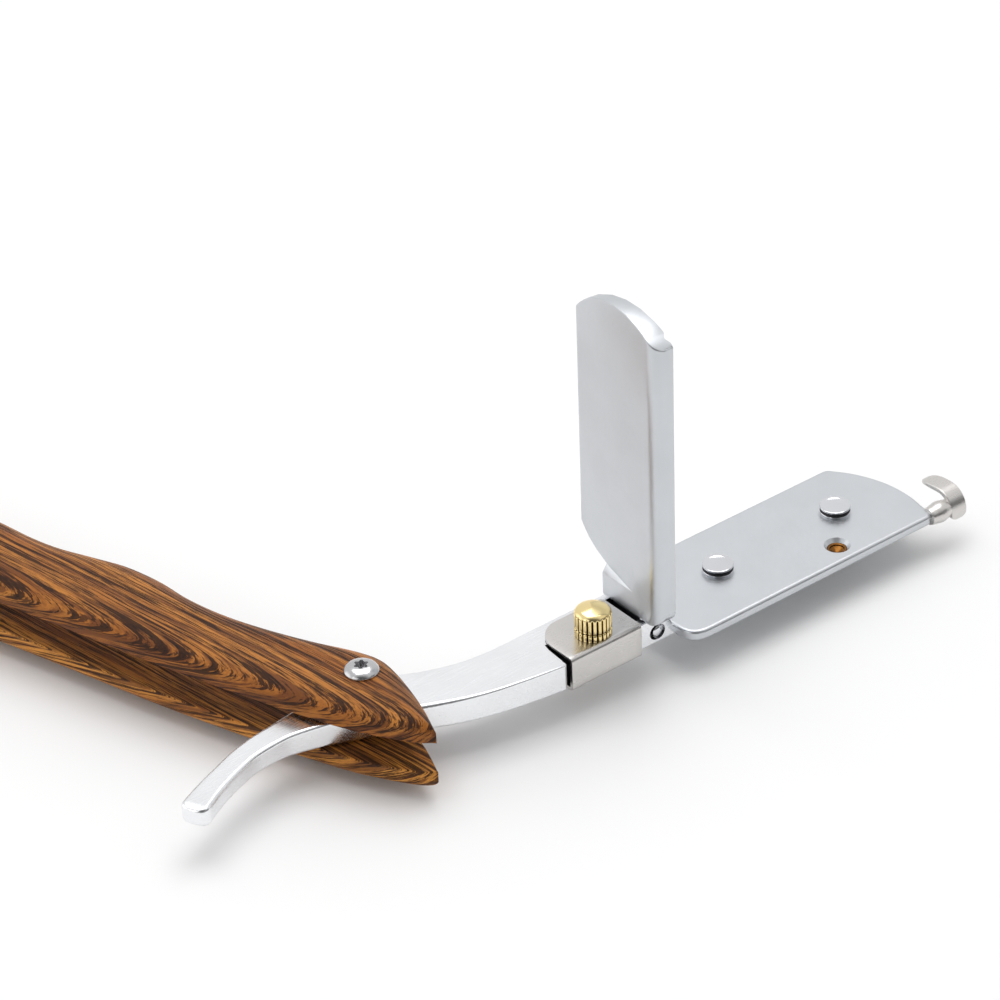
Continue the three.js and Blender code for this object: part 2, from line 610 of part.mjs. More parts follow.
// Brass bush pressed in the tang's eye; the barrel nut turns in it.
function pivotBush() {
  return named('pivot_bush', ring(BARREL_R + 0.06, BUSH_OUTER_R - 0.02, 0.02, TANG_TOP - 0.02, PIVOT_X, PIVOT_Y), brass());
}

// ---------------------------------------------------------------------------------------------
// Assembly
// ---------------------------------------------------------------------------------------------

const razor = new THREE.Group();
razor.add(
  tang(), hingePin(), bedPlate(), bladeStud('rear_blade_stud', STUD_X[0]), bladeStud('front_blade_stud', STUD_X[1]),
  dowelBush(), noseHook(), clampGroup(), lockSleeve(), ...knobPieces(), pivotBush(), handleGroup(),
);

// origin on the bed's underside, below the middle of the blade seat
razor.position.set(-(STUD_X[0] + STUD_X[1]) / 2, -SEAT_Y, 0);

const group = new THREE.Group();
group.add(razor);
export default group;
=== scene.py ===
import json
import math

import bmesh
import bpy
import numpy as np
from mathutils import Matrix, Vector


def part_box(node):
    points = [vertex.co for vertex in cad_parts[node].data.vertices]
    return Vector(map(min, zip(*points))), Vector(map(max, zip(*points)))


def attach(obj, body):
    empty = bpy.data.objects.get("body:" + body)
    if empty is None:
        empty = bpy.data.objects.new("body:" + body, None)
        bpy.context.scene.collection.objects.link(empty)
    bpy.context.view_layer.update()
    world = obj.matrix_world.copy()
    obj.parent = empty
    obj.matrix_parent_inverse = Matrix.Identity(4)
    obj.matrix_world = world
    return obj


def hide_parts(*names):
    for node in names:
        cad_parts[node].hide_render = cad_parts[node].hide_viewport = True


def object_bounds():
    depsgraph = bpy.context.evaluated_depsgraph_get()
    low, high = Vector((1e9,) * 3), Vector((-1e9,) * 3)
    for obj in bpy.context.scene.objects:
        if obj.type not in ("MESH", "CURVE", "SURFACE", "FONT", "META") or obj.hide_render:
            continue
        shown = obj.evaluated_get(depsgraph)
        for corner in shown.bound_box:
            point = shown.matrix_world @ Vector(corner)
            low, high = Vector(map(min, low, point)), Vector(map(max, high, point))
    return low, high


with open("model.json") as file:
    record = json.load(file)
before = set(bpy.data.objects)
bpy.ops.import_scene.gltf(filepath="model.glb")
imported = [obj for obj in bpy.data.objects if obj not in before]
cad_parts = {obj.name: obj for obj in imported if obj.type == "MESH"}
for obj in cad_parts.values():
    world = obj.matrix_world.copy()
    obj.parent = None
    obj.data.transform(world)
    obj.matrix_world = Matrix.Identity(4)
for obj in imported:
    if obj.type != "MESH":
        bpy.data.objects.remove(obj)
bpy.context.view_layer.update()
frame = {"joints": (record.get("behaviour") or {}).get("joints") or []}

# ---------------------------------------------------------------------------------------------
# Tang
# One steel forging: a fork for the clamp's hinge, a reduced neck for the sleeve, a wide shank,
# the pivot eye and a thin tail for the finger. Its faces are belt-ground along their length and
# its edges are polished over. The other steel pieces are riveted or pinned to it.
# ---------------------------------------------------------------------------------------------

MM = 0.001
joints = {j["name"]: j for j in frame["joints"]}

# Shop coordinates, in millimetres: X = 0 on the hinge pin, Y = 0 just off the fork's near face
# and Z = 0 at the underside of the steel.
PIN_INSET = 0.25
HINGE_X = joints["clamp_hinge"]["pos_m"][0] / MM
HINGE_Z = joints["clamp_hinge"]["pos_m"][2] / MM
NEAR_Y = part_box("hinge_pin")[0].y / MM - PIN_INSET
SHOP = Matrix.Translation((HINGE_X * MM, NEAR_Y * MM, 0)) @ Matrix.Scale(MM, 4)


def spline(points, count):
    """A smooth curve through a few points, as that many points evenly spread over its spans."""
    pts = [Vector(p) for p in points]
    pts = [2 * pts[0] - pts[1]] + pts + [2 * pts[-1] - pts[-2]]
    knots = [0.0]
    for a, b in zip(pts, pts[1:]):
        knots.append(knots[-1] + math.sqrt(max((b - a).length, 1e-9)))
    spans = len(pts) - 3
    out = []
    for i in range(count):
        place = i / (count - 1) * spans
        k = min(int(place), spans - 1)
        t = knots[k + 1] + (place - k) * (knots[k + 2] - knots[k + 1])
        level = pts[k:k + 4]
        for reach in (1, 2, 1):
            start = 1 if len(level) == 2 else 0
            level = [
                p.lerp(q, (t - knots[j]) / (knots[j + reach] - knots[j]))
                for j, (p, q) in enumerate(zip(level, level[1:]), k + start)
            ]
        out.append(level[0])
    return out


def loft(rings, close_start=True, close_end=True):
    """Quads between rings of equal length, with a flat face over each end."""
    bm = bmesh.new()
    loops = [[bm.verts.new(p) for p in ring] for ring in rings]
    n = len(loops[0])
    for a, b in zip(loops, loops[1:]):
        for i in range(n):
            bm.faces.new((a[i], a[(i + 1) % n], b[(i + 1) % n], b[i]))
    if close_start:
        bm.faces.new(loops[0][::-1])
    if close_end:
        bm.faces.new(loops[-1])
    return bm


def shown(name, bm, place=SHOP, weld=1e-4):
    """A mesh object from shop-coordinate geometry."""
    bmesh.ops.remove_doubles(bm, verts=bm.verts, dist=weld)
    bmesh.ops.dissolve_degenerate(bm, edges=bm.edges, dist=weld)
    bmesh.ops.recalc_face_normals(bm, faces=bm.faces)
    mesh = bpy.data.meshes.new(name)
    bm.to_mesh(mesh)
    bm.free()
    mesh.transform(place)
    obj = bpy.data.objects.new(name, mesh)
    bpy.context.scene.collection.objects.link(obj)
    return obj


def apply_modifiers(obj):
    """Bakes a piece's modifiers into its mesh."""
    graph = bpy.context.evaluated_depsgraph_get()
    mesh = bpy.data.meshes.new_from_object(obj.evaluated_get(graph))
    obj.modifiers.clear()
    obj.data = mesh


def shaped(obj, tool, operation="DIFFERENCE"):
    """Cuts or joins a piece with a tool body, which is then thrown away."""
    step = obj.modifiers.new("tool", "BOOLEAN")
    step.operation = operation
    step.solver = "EXACT"
    step.object = tool
    apply_modifiers(obj)
    bpy.data.objects.remove(tool)


def fitted(obj, body, slot, material, *nodes, sharp=32):
    """Smooth faces with crisp corners, then the piece joins its body and stands for its nodes."""
    mesh = obj.data
    mesh.materials.clear()
    mesh.materials.append(material)
    for face in mesh.polygons:
        face.material_index = 0
    mesh.shade_smooth()
    mesh.set_sharp_from_angle(angle=math.radians(sharp))
    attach(obj, body)
    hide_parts(*nodes)
    return obj


def block(x, y, z):
    """A box-shaped tool body between pairs of bounds."""
    corners = [[(x[i], y[j], z[k]) for i, j in ((0, 0), (1, 0), (1, 1), (0, 1))] for k in (0, 1)]
    return shown("tool", loft(corners))


def turned(profile, sides=64, centre=(0, 0)):
    """A lathe-turned body about Z, from a list of (radius, z) that starts and ends on the axis
    or closes on itself."""
    bm = bmesh.new()
    loops = []
    for r, z in profile:
        if r < 1e-6:
            loops.append([bm.verts.new((centre[0], centre[1], z))] * sides)
        else:
            loops.append([bm.verts.new((centre[0] + r * math.cos(a), centre[1] + r * math.sin(a), z))
                          for a in (2 * math.pi * i / sides for i in range(sides))])
    for a, b in zip(loops, loops[1:]):
        for i in range(sides):
            corners = [a[i], a[(i + 1) % sides], b[(i + 1) % sides], b[i]]
            corners = [v for k, v in enumerate(corners) if v not in corners[:k]]
            if len(corners) > 2:
                bm.faces.new(corners)
    return bm


def tool_rod(radius, z0, z1, centre=(0, 0), turn=Matrix.Identity(4), sides=64, place=SHOP):
    """A round tool body, drawn along Z and then turned."""
    bm = turned([(0, z0), (radius, z0), (radius, z1), (0, z1)], sides, centre)
    bmesh.ops.transform(bm, matrix=turn, verts=bm.verts)
    return shown("tool", bm, place)


ALONG_Y = Matrix.Translation((0, 0, HINGE_Z)) @ Matrix.Rotation(-math.pi / 2, 4, "X")
ALONG_X = Matrix.Rotation(math.pi / 2, 4, "Y")


def section(y0, y1, z0, z1, radius, steps=4, support=0.06):
    """A rectangle with rounded corners, in Y and Z, with a point beside each corner so that the
    flats stay flat."""
    points = []
    for cy, cz, start in ((y1 - radius, z1 - radius, 0), (y0 + radius, z1 - radius, 90),
                          (y0 + radius, z0 + radius, 180), (y1 - radius, z0 + radius, 270)):
        sweep = [math.radians(start + 90 * k / steps) for k in range(steps + 1)]
        ring = [Vector((cy + radius * math.cos(a), cz + radius * math.sin(a))) for a in sweep]
        before = Vector((math.sin(sweep[0]), -math.cos(sweep[0]))) * support
        after = Vector((-math.sin(sweep[-1]), math.cos(sweep[-1]))) * support
        points += [ring[0] + before] + ring + [ring[-1] + after]
    return points


TANG_TOP = 4.4
NECK = (0.1, 9.7)
SHOULDER_X = -17.3
FORK_NOSE_X = 3.0
KNUCKLE_R = 2.6
BED_TOP = 1.6
CHEEK = 1.3
FORK_SLOT_Y = (NECK[0] + CHEEK, NECK[1] - CHEEK)
# middle of the tang from the sleeve to the tail, seen from above, with its width and edge rounding
TANG_LINE = [
    (-17.3, 4.7), (-24, 5.25), (-30, 6.4), (-36, 8.7), (-43.6, 12.6), (-51, 14),
    (-57, 14.4), (-63, 13.8), (-68, 12.1), (-72, 10.4), (-75.0, 8.85),
]
TANG_WIDTH = [10, 9, 8.6, 8.5, 8.9, 5.9, 4, 3.7, 3.7, 4.0, 4.3]
TANG_EDGE = [0.22, 0.3, 0.4, 0.6, 0.6, 0.45, 0.5, 0.6, 0.65, 0.7, 0.7]


def along_list(values, share):
    """The value at a share of the way along an evenly spaced list."""
    place = share * (len(values) - 1)
    k = min(int(place), len(values) - 2)
    return values[k] + (values[k + 1] - values[k]) * (place - k)


def tail_heights(x):
    """Underside and top of the tang: full height to the pivot, thinner towards the tail."""
    t = min(max((-47 - x) / 33, 0), 1)
    eased = 1 - (1 - t) ** 2.4
    return 0.78 * eased, TANG_TOP - 0.53 * eased


rings = []
for k in range(7):
    angle = math.radians(15 * k)
    x = KNUCKLE_R * math.cos(angle)
    top = HINGE_Z + KNUCKLE_R * math.sin(angle)
    if k == 0:
        rings.append([Vector((FORK_NOSE_X, y, z)) for y, z in section(*NECK, 0, BED_TOP, 0.12)])
        top = BED_TOP + 0.25
    rings.append([Vector((x, y, z)) for y, z in section(*NECK, 0, top, 0.2)])
for x in (-3, -8, -13, SHOULDER_X + 0.5):
    rings.append([Vector((x, y, z)) for y, z in section(*NECK, 0, TANG_TOP, 0.2)])
TANG_STEPS = 90
middle = spline(TANG_LINE, TANG_STEPS)
for i, p in enumerate(middle):
    ahead = (middle[min(i + 1, TANG_STEPS - 1)] - middle[max(i - 1, 0)]).normalized()
    across = Vector((-ahead.y, ahead.x))
    share = i / (TANG_STEPS - 1)
    half = along_list(TANG_WIDTH, share) / 2
    low, high = tail_heights(p.x)
    edge = along_list(TANG_EDGE, share)
    rings.append([Vector((p.x + across.x * -a, p.y + across.y * -a, z))
                  for a, z in section(-half, half, low, high, edge)])
# the tail's blunt end, rounded over at its upright corners
for k in range(1, 6):
    turn = math.radians(18 * k)
    pull, shift = 1.5 * (1 - math.cos(turn)), 1.4 * math.sin(turn)
    drop = 0.55 * (1 - math.cos(turn))
    centre = p + ahead * shift
    rings.append([Vector((centre.x + across.x * -a, centre.y + across.y * -a, z)) for a, z in
                  section(pull - half, half - pull, low + drop, high - drop, 0.6)])
tang = shown("tang_forging", loft(rings))

# the fork's slot, deepest over its front part
shaped(tang, block((-1.8, 5), FORK_SLOT_Y, (-1, 6)))
shaped(tang, block((-3.4, -1.7), FORK_SLOT_Y, (1.2, 6)))

# the clearance behind the sleeve: down the near side, then across the top along its rear corner
GAP_X = SHOULDER_X - 0.02
shaped(tang, block((GAP_X, -16), (-1, 0.9), (-1, 6)))
top_clearance = ((GAP_X, -1), (-17.2, 1.5), (-17.1, 3.2), (-17.0, 4.3), (-16.75, 5.5), (-16.0, 5.2),
                 (-15, 4), (-15, -1))
shaped(tang, shown("tool", loft([[Vector((*p, z)) for p in top_clearance] for z in (3.6, 6)])))

# the lock screw's guide slot, the pin's bore with its recess in the near cheek, and the eye
KNOB = Vector((-10.1, 2.6))
SLOT_HALF = 1.05
shaped(tang, block((KNOB.x - 2.2, -4.0), (KNOB.y - SLOT_HALF, KNOB.y + SLOT_HALF), (2.4, 6)))
PIN_RECESS_R = 1.3
PIN_RECESS = Vector((-0.3, 0, HINGE_Z + 0.1))
shaped(tang, tool_rod(1.25, -1, 11, turn=ALONG_Y))
shaped(tang, tool_rod(PIN_RECESS_R, -1, 1.0, centre=(PIN_RECESS.x, HINGE_Z - PIN_RECESS.z), turn=ALONG_Y))
pivot_place = joints["handle_pivot"]["pos_m"]
PIVOT = Vector((pivot_place[0] / MM - HINGE_X, pivot_place[1] / MM - NEAR_Y))
BUSH_OUTER_R = 2.6
shaped(tang, tool_rod(BUSH_OUTER_R, -1, 6, centre=PIVOT))


def surface(name, colour, metallic, roughness):
    """A material with its shader, and a function that adds nodes to it."""
    material = bpy.data.materials.new(name)
    material.use_nodes = True
    tree = material.node_tree
    shader = tree.nodes["Principled BSDF"]
    shader.inputs["Base Color"].default_value = (*colour, 1)
    shader.inputs["Metallic"].default_value = metallic
    shader.inputs["Roughness"].default_value = roughness

    def node(kind, links=(), **values):
        made = tree.nodes.new("ShaderNode" + kind)
        for key, value in values.items():
            if hasattr(made, key) and key not in made.inputs:
                setattr(made, key, value)
            else:
                made.inputs[key.replace("_", " ")].default_value = value
        for socket, source in dict(links).items():
            tree.links.new(source, made.inputs[socket])
        return made

    def link(source, socket):
        tree.links.new(source, shader.inputs[socket])

    return material, node, link


def steel(name, colour, roughness, grain, direction=0.0, spread=0.06, height=0.02, cloud=0.03):
    """Ground steel: fine lines along one direction in their own shallow relief, with uneven
    polish and faint clouding. Grain is the lines' spacing along X, Y and Z, in lines a metre."""
    material, node, link = surface(name, colour, 1, roughness)
    coords = node("TexCoord")
    turned_map = node("Mapping", {"Vector": coords.outputs["Object"]})
    turned_map.inputs["Rotation"].default_value = (0, 0, direction)
    turned_map.inputs["Scale"].default_value = grain
    lines = node("TexNoise", {"Vector": turned_map.outputs["Vector"]}, Scale=1.0, Detail=3.0,
                 Roughness=0.6)
    clouds = node("TexNoise", {"Vector": coords.outputs["Object"]}, Scale=160.0, Detail=2.0)
    polish = node("MapRange", {"Value": lines.outputs["Fac"]}, **{"From Min": 0.3, "From Max": 0.7})
    polish.inputs["To Min"].default_value = roughness - spread
    polish.inputs["To Max"].default_value = roughness + spread
    link(polish.outputs["Result"], "Roughness")
    shade = node("ValToRGB", {"Fac": clouds.outputs["Fac"]})
    dark, light = shade.color_ramp.elements
    dark.position, light.position = 0.3, 0.7
    dark.color = (*[c * (1 - cloud) for c in colour], 1)
    light.color = (*[min(c * (1 + cloud), 1) for c in colour], 1)
    link(shade.outputs["Color"], "Base Color")
    bump = node("Bump", {"Height": lines.outputs["Fac"]}, Strength=height * 10, Distance=0.00002)
    link(bump.outputs["Normal"], "Normal")
    return material


tang_steel = steel("ground_steel", (0.90, 0.91, 0.93), 0.24, (300, 9000, 9000), direction=0.12)
fitted(tang, "tang", "tang_steel", tang_steel, "tang")

# the fork's slots, the clearance behind the sleeve and the pin's recess get a near-black steel: painted shade
# for the deep gaps
EVEN_GRAIN = (2500, 2500, 2500)
painted_shade_steel = steel("steel_painted_shade", (0.045, 0.045, 0.05), 0.5, EVEN_GRAIN)
tang.data.materials.append(painted_shade_steel)
into_shop = SHOP.inverted()
for face in tang.data.polygons:
    p = into_shop @ face.center
    below_skin = 0.02 < p.z < TANG_TOP - 0.02
    in_fork = -3.45 < p.x < 3.2 and FORK_SLOT_Y[0] - 0.02 < p.y < FORK_SLOT_Y[1] + 0.02
    in_gap = GAP_X - 0.01 < p.x < -15 and -0.1 < p.y < 5.6
    from_recess = math.hypot(p.x - PIN_RECESS.x, p.z - PIN_RECESS.z)
    if below_skin and (in_fork or in_gap) or 0.12 < p.y < 1.1 and from_recess < PIN_RECESS_R + 0.02:
        face.material_index = 1

# ---------------------------------------------------------------------------------------------
# Hinge pin
# A polished steel pin, pressed through both cheeks of the fork. Its near end is turned down to
# a domed stub that stands in the cheek's recess. The clamp's knuckle turns on it.
# ---------------------------------------------------------------------------------------------

bright_steel = steel("polished_steel", (0.72, 0.73, 0.76), 0.10, EVEN_GRAIN, spread=0.03, height=0.004)
pin_low, pin_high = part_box("hinge_pin")
pin_r = (pin_high.z - pin_low.z) / 2 / MM
pin_y = [v.y / MM - NEAR_Y for v in (pin_low, pin_high)]
end_y = pin_y[0] - 0.22
pin_profile = [
    (0, end_y), (0.4, end_y + 0.03), (0.7, end_y + 0.12), (0.86, end_y + 0.26), (0.9, end_y + 0.45),
    (0.9, end_y + 1.0), (pin_r, end_y + 1.05), (pin_r, pin_y[1] - 0.2), (pin_r - 0.15, pin_y[1]),
    (0, pin_y[1]),
]
bm = turned(pin_profile, 48)
bmesh.ops.transform(bm, matrix=ALONG_Y, verts=bm.verts)
fitted(shown("hinge_rivet", bm), "tang", "polished_steel", bright_steel, "hinge_pin")

# ---------------------------------------------------------------------------------------------
# Bed plate
# A flat steel plate with a rounded nose, silver-soldered to the fork, that the half blade lies
# on. It is bead-blasted, with rounded edges and a countersunk hole for the clamp's dowel.
# ---------------------------------------------------------------------------------------------


def bezier(p0, p1, p2, p3, count=10):
    """Points along a cubic curve."""
    out = []
    for i in range(count + 1):
        t = i / count
        out.append(Vector(p0) * (1 - t) ** 3 + Vector(p1) * 3 * t * (1 - t) ** 2
                   + Vector(p2) * 3 * t * t * (1 - t) + Vector(p3) * t ** 3)
    return out


def arc(cx, cy, r, start, end, count=16):
    """Points along a part of a circle."""
    angles = [start + (end - start) * i / count for i in range(count + 1)]
    return [Vector((cx + r * math.cos(a), cy + r * math.sin(a))) for a in angles]


def tidy_outline(points, gap=0.02):
    """The outline without points that stand on one another."""
    kept = []
    for p in points:
        if not kept or (p - kept[-1]).length > gap:
            kept.append(p)
    if (kept[0] - kept[-1]).length <= gap:
        kept.pop()
    return kept


def inset(points, distance):
    """The outline moved inwards, for points that run anticlockwise."""
    out = []
    n = len(points)
    for i, p in enumerate(points):
        a = (p - points[i - 1]).normalized()
        b = (points[(i + 1) % n] - p).normalized()
        normal = Vector((-a.y - b.y, a.x + b.x)).normalized()
        lean = max(Vector((-a.y, a.x)).dot(normal), 0.35)
        out.append(p + normal * distance / lean)
    return out


def rounded_plate(outline, z0, z1, under, over, steps=5):
    """A plate whose lower and upper rims are rounded by under and over."""
    levels = []
    for k in range(steps + 1):
        a = math.pi / 2 * k / steps
        levels.append((under * (1 - math.sin(a)), z0 + under * (1 - math.cos(a))))
    for k in range(steps + 1):
        a = math.pi / 2 * k / steps
        levels.append((over * (1 - math.cos(a)), z1 - over * (1 - math.sin(a))))
    levels = [(levels[0][0] + 0.08, z0)] + levels + [(levels[-1][0] + 0.08, z1)]
    return loft([[Vector((*p, z)) for p in inset(outline, d)] for d, z in levels])


SPINE_Y = -4.0
EDGE_Y = 16.0
BED_NOSE = dict(x=52.1, y=3.5, r=18.0)


def nose_angle(nose, y):
    """Where on a plate's round nose a given Y lies."""
    return math.asin((y - nose["y"]) / nose["r"])


def nose_x(nose, y):
    return nose["x"] - nose["r"] * (1 - math.cos(nose_angle(nose, y)))


hook_flat = (nose_x(BED_NOSE, -0.6), -0.6)
far_corner = (nose_x(BED_NOSE, EDGE_Y - 0.9), EDGE_Y - 0.9)
bed_outline = tidy_outline(
    bezier((3, -0.2), (3.1, -3), (4.1, SPINE_Y), (7.2, SPINE_Y), 12)
    + bezier((hook_flat[0] - 1.9, SPINE_Y), (hook_flat[0] - 0.8, SPINE_Y), (hook_flat[0] - 0.2, -3.4),
             (hook_flat[0] - 0.2, -2.3), 6)
    + arc(BED_NOSE["x"] - BED_NOSE["r"], BED_NOSE["y"], BED_NOSE["r"], nose_angle(BED_NOSE, -0.6),
          nose_angle(BED_NOSE, EDGE_Y - 0.9), 40)
    + bezier(far_corner, (far_corner[0] - 0.3, EDGE_Y - 0.3), (far_corner[0] - 0.8, EDGE_Y),
             (far_corner[0] - 1.6, EDGE_Y), 5)
    + bezier((11, EDGE_Y), (9, EDGE_Y - 1.6), (7.6, 12.1), (7, 9.7), 12)
    + [Vector((3, 9.7))]
)
bed = shown("bed_sheet", rounded_plate(bed_outline, 0, BED_TOP, 0.35, 0.55))
HOLE = Vector((34.6, -0.4))
hole_profile = [
    (0, -1), (1.53, -1), (1.53, 1.0), (1.6, 1.06), (1.95, BED_TOP - 0.06), (2.02, BED_TOP), (2.02, 3), (0, 3),
]
shaped(bed, shown("tool", turned(hole_profile, 64, HOLE)))
SEAT_Y = 6.5
STUD_X = (17.0, 40.5)
for x in STUD_X:
    shaped(bed, tool_rod(1.23, -1, 3, centre=(x, SEAT_Y)))

plate_steel = steel("blasted_steel", (0.61, 0.63, 0.655), 0.36, (1800, 1800, 1800), spread=0.04,
                    height=0.02, cloud=0.02)
fitted(bed, "tang", "plate_steel", plate_steel, "bed_plate")

# ---------------------------------------------------------------------------------------------
# Blade studs
# Two polished steel studs that fill the holes at the blade's ends. Each is turned with a dished
# head, a narrow groove whose walls are painted near-black as shade, and a shank, which is riveted through the
# bed.
# ---------------------------------------------------------------------------------------------

STUD_R = 2.35
STUD_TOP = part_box("rear_blade_stud")[1].z / MM
stud_profile = [
    (0, 0.1), (1.2, 0.1), (1.2, BED_TOP + 0.01), (STUD_R - 0.05, BED_TOP + 0.01), (STUD_R, BED_TOP + 0.06),
    (STUD_R, BED_TOP + 0.26), (STUD_R - 0.03, BED_TOP + 0.31), (STUD_R - 0.3, STUD_TOP - 0.38),
    (STUD_R - 0.04, STUD_TOP - 0.33), (STUD_R, STUD_TOP - 0.3), (STUD_R, STUD_TOP - 0.12),
    (STUD_R - 0.04, STUD_TOP - 0.04), (STUD_R - 0.14, STUD_TOP), (STUD_R - 0.36, STUD_TOP),
    (STUD_R - 0.5, STUD_TOP - 0.05), (1.2, STUD_TOP - 0.13), (0.6, STUD_TOP - 0.17), (0, STUD_TOP - 0.18),
]
for name, x in zip(("rear_blade_stud", "front_blade_stud"), STUD_X):
    stud = shown(name.replace("blade", "dished"), turned(stud_profile, 72, (x, SEAT_Y)))
    fitted(stud, "tang", "polished_steel", bright_steel, name, sharp=30)
    # the groove's walls get the near-black steel: painted shade
    stud.data.materials.append(painted_shade_steel)
    for face in stud.data.polygons:
        z = (into_shop @ face.center).z
        if BED_TOP + 0.31 < z < STUD_TOP - 0.3 and abs(face.normal.z) < 0.9:
            face.material_index = 1

# ---------------------------------------------------------------------------------------------
# Dowel bush
# A small cup of browned brass that lines the bed's dowel hole. It is pressed in from below and
# its rim stands under the hole's countersink.
# ---------------------------------------------------------------------------------------------

aged_brass = steel("aged_brass", (0.20, 0.085, 0.02), 0.28, EVEN_GRAIN, height=0.02, cloud=0.2)
cup_profile = [
    (0, 0.05), (1.5, 0.05), (1.5, 0.92), (1.44, 1.0), (1.24, 1.0), (1.12, 0.92), (1.08, 0.7),
    (0.95, 0.62), (0.4, 0.3), (0, 0.15),
]
fitted(shown("dowel_cup", turned(cup_profile, 48, HOLE)), "tang", "brass", aged_brass, "dowel_bush")

# ---------------------------------------------------------------------------------------------
# Nose hook
# A turned steel stem, a little thicker half way along, pegged into the bed's nose. A flat strip
# is forged out of its end and curled over towards the cutting side.
# ---------------------------------------------------------------------------------------------

HOOK_Y, HOOK_Z = -3.1, 0.8
stem_base = BED_NOSE["x"] - 0.9
stem_profile = [(0, stem_base - 0.4), (1.3, stem_base - 0.4)]
for k in range(15):
    t = k / 14
    stem_profile.append((1.43 + 0.27 * math.sin(math.pi * t) ** 1.8 - 0.02 * t, stem_base + 3.5 * t))
stem_profile.append((0, stem_base + 3.5))
bm = turned(stem_profile, 48)
bmesh.ops.transform(bm, matrix=Matrix.Translation((0, HOOK_Y, HOOK_Z)) @ ALONG_X, verts=bm.verts)
hook = shown("hook_forging", bm)
STRIP_X = (54.4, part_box("nose_hook")[1].x / MM - HINGE_X)
STRIP_THICK = 0.75
curl = [Vector((-4.65, z)) for z in (-0.85, -0.75, -0.6, -0.4, 0)]
curl += [Vector((-1.3 + 3.35 * math.cos(a), 0.15 + 3.35 * math.sin(a)))
         for a in (math.pi - math.pi / 2 * k / 14 for k in range(1, 15))]
curl += bezier((-1.3, 3.5), (0.3, 3.5), (1.8, 3.3), (2.9, 2.75), 10)[1:]
strip_rings = []
for i, p in enumerate(curl):
    ahead = (curl[min(i + 1, len(curl) - 1)] - curl[max(i - 1, 0)]).normalized()
    inward = Vector((ahead.y, -ahead.x))
    from_tip = (len(curl) - 1 - i) / 7
    pull = 0.75 * (1 - math.sqrt(max(1 - (1 - min(from_tip, 1)) ** 2, 0)))
    pull += 0.7 * (1 - min((p.y + 0.85) / 0.6, 1)) ** 2
    thin = STRIP_THICK * (1 - 0.25 * (1 - min(from_tip, 1)))
    ring = []
    for x, depth in section(STRIP_X[0] + pull, STRIP_X[1] - pull, 0, thin, 0.16):
        ring.append(Vector((x, p.x + inward.x * depth, p.y + inward.y * depth)))
    strip_rings.append(ring)
shaped(hook, shown("tool", loft(strip_rings)), "UNION")
sleeve_steel = steel("warm_satin_steel", (0.65, 0.63, 0.61), 0.30, (500, 5000, 5000), spread=0.04,
                     height=0.015)
fitted(hook, "tang", "sleeve_steel", sleeve_steel, "nose_hook", sharp=38)

# ---------------------------------------------------------------------------------------------
# Clamp plate
# A wedge of blasted steel, thick and rounded at the spine and thin at the cutting side, that
# swings down over the blade. Its root is a milled block with a knuckle that turns on the hinge
# pin. It is drawn closed and stood up by its hinge.
# ---------------------------------------------------------------------------------------------

STAND_UP = SHOP @ Matrix.Translation((0, 0, HINGE_Z)) @ Matrix.Rotation(-math.pi / 2, 4, "Y")
BLADE_GAP = 0.15
FACE = BED_TOP + BLADE_GAP - HINGE_Z
THIN, THICK = 1.2, 3.5
CLAMP_NOSE = dict(x=53.4, y=5.0, r=14.5)
ROOT_X, ROOT_EDGE_Y, ROOT_THICK = 2.95, 9.4, 2.85

# wedge section: matched points on the inner and the outer face, from the spine to the cutting side
SPINE_ROUND = 2.2
wedge = []
for k in range(9):
    a = math.pi / 2 * k / 8
    up = 1 - math.sin(a)
    wedge.append((SPINE_Y + 1.9 * (1 - math.cos(a)), 0.18 * up, SPINE_ROUND * up))
for y in (-1.9, -1.2, 0, 3, 6, 9, 12, 14, 15, 15.6):
    wedge.append((y, 0, 0))
for k in range(1, 6):
    a = math.pi / 2 * k / 5
    up = 1 - math.cos(a)
    wedge.append((EDGE_Y - 0.22 * (1 - math.sin(a)), 0.2 * up, 0.22 * up))


def outer_face(y):
    """Height of the wedge's outer face."""
    return FACE + THIN + (THICK - THIN) * (EDGE_Y - y) / (EDGE_Y - SPINE_Y - 0.7)


def clamp_start(y):
    """Rear end of the wedge: a rounded spine corner, then a slope hidden in the root, then the
    shoulder's curve out to the cutting side."""
    if y < -0.4:
        turn = min((-0.4 - y) / 3.6, 1)
        return 3.45 + 2.3 * (1 - math.sqrt(1 - turn ** 2))
    if y < 3:
        return 3.45
    if y < ROOT_EDGE_Y:
        return 3.45 + 4.75 * (y - 3) / (ROOT_EDGE_Y - 3)
    t = (y - ROOT_EDGE_Y) / (EDGE_Y - ROOT_EDGE_Y)
    return 8.2 + 1.5 * t + 2.5 * t ** 3


def clamp_ring(x_of, pull):
    """One ring of the wedge: down the outer face and back along the inner face."""
    outer, inner = [], []
    for y, lift, drop in wedge:
        pulled = min(max(y, SPINE_Y + pull), EDGE_Y - pull)
        x = x_of(y)
        outer.append(Vector((x, pulled, outer_face(y) - drop - pull)))
        inner.append(Vector((x, pulled, FACE + lift + pull)))
    return outer, inner


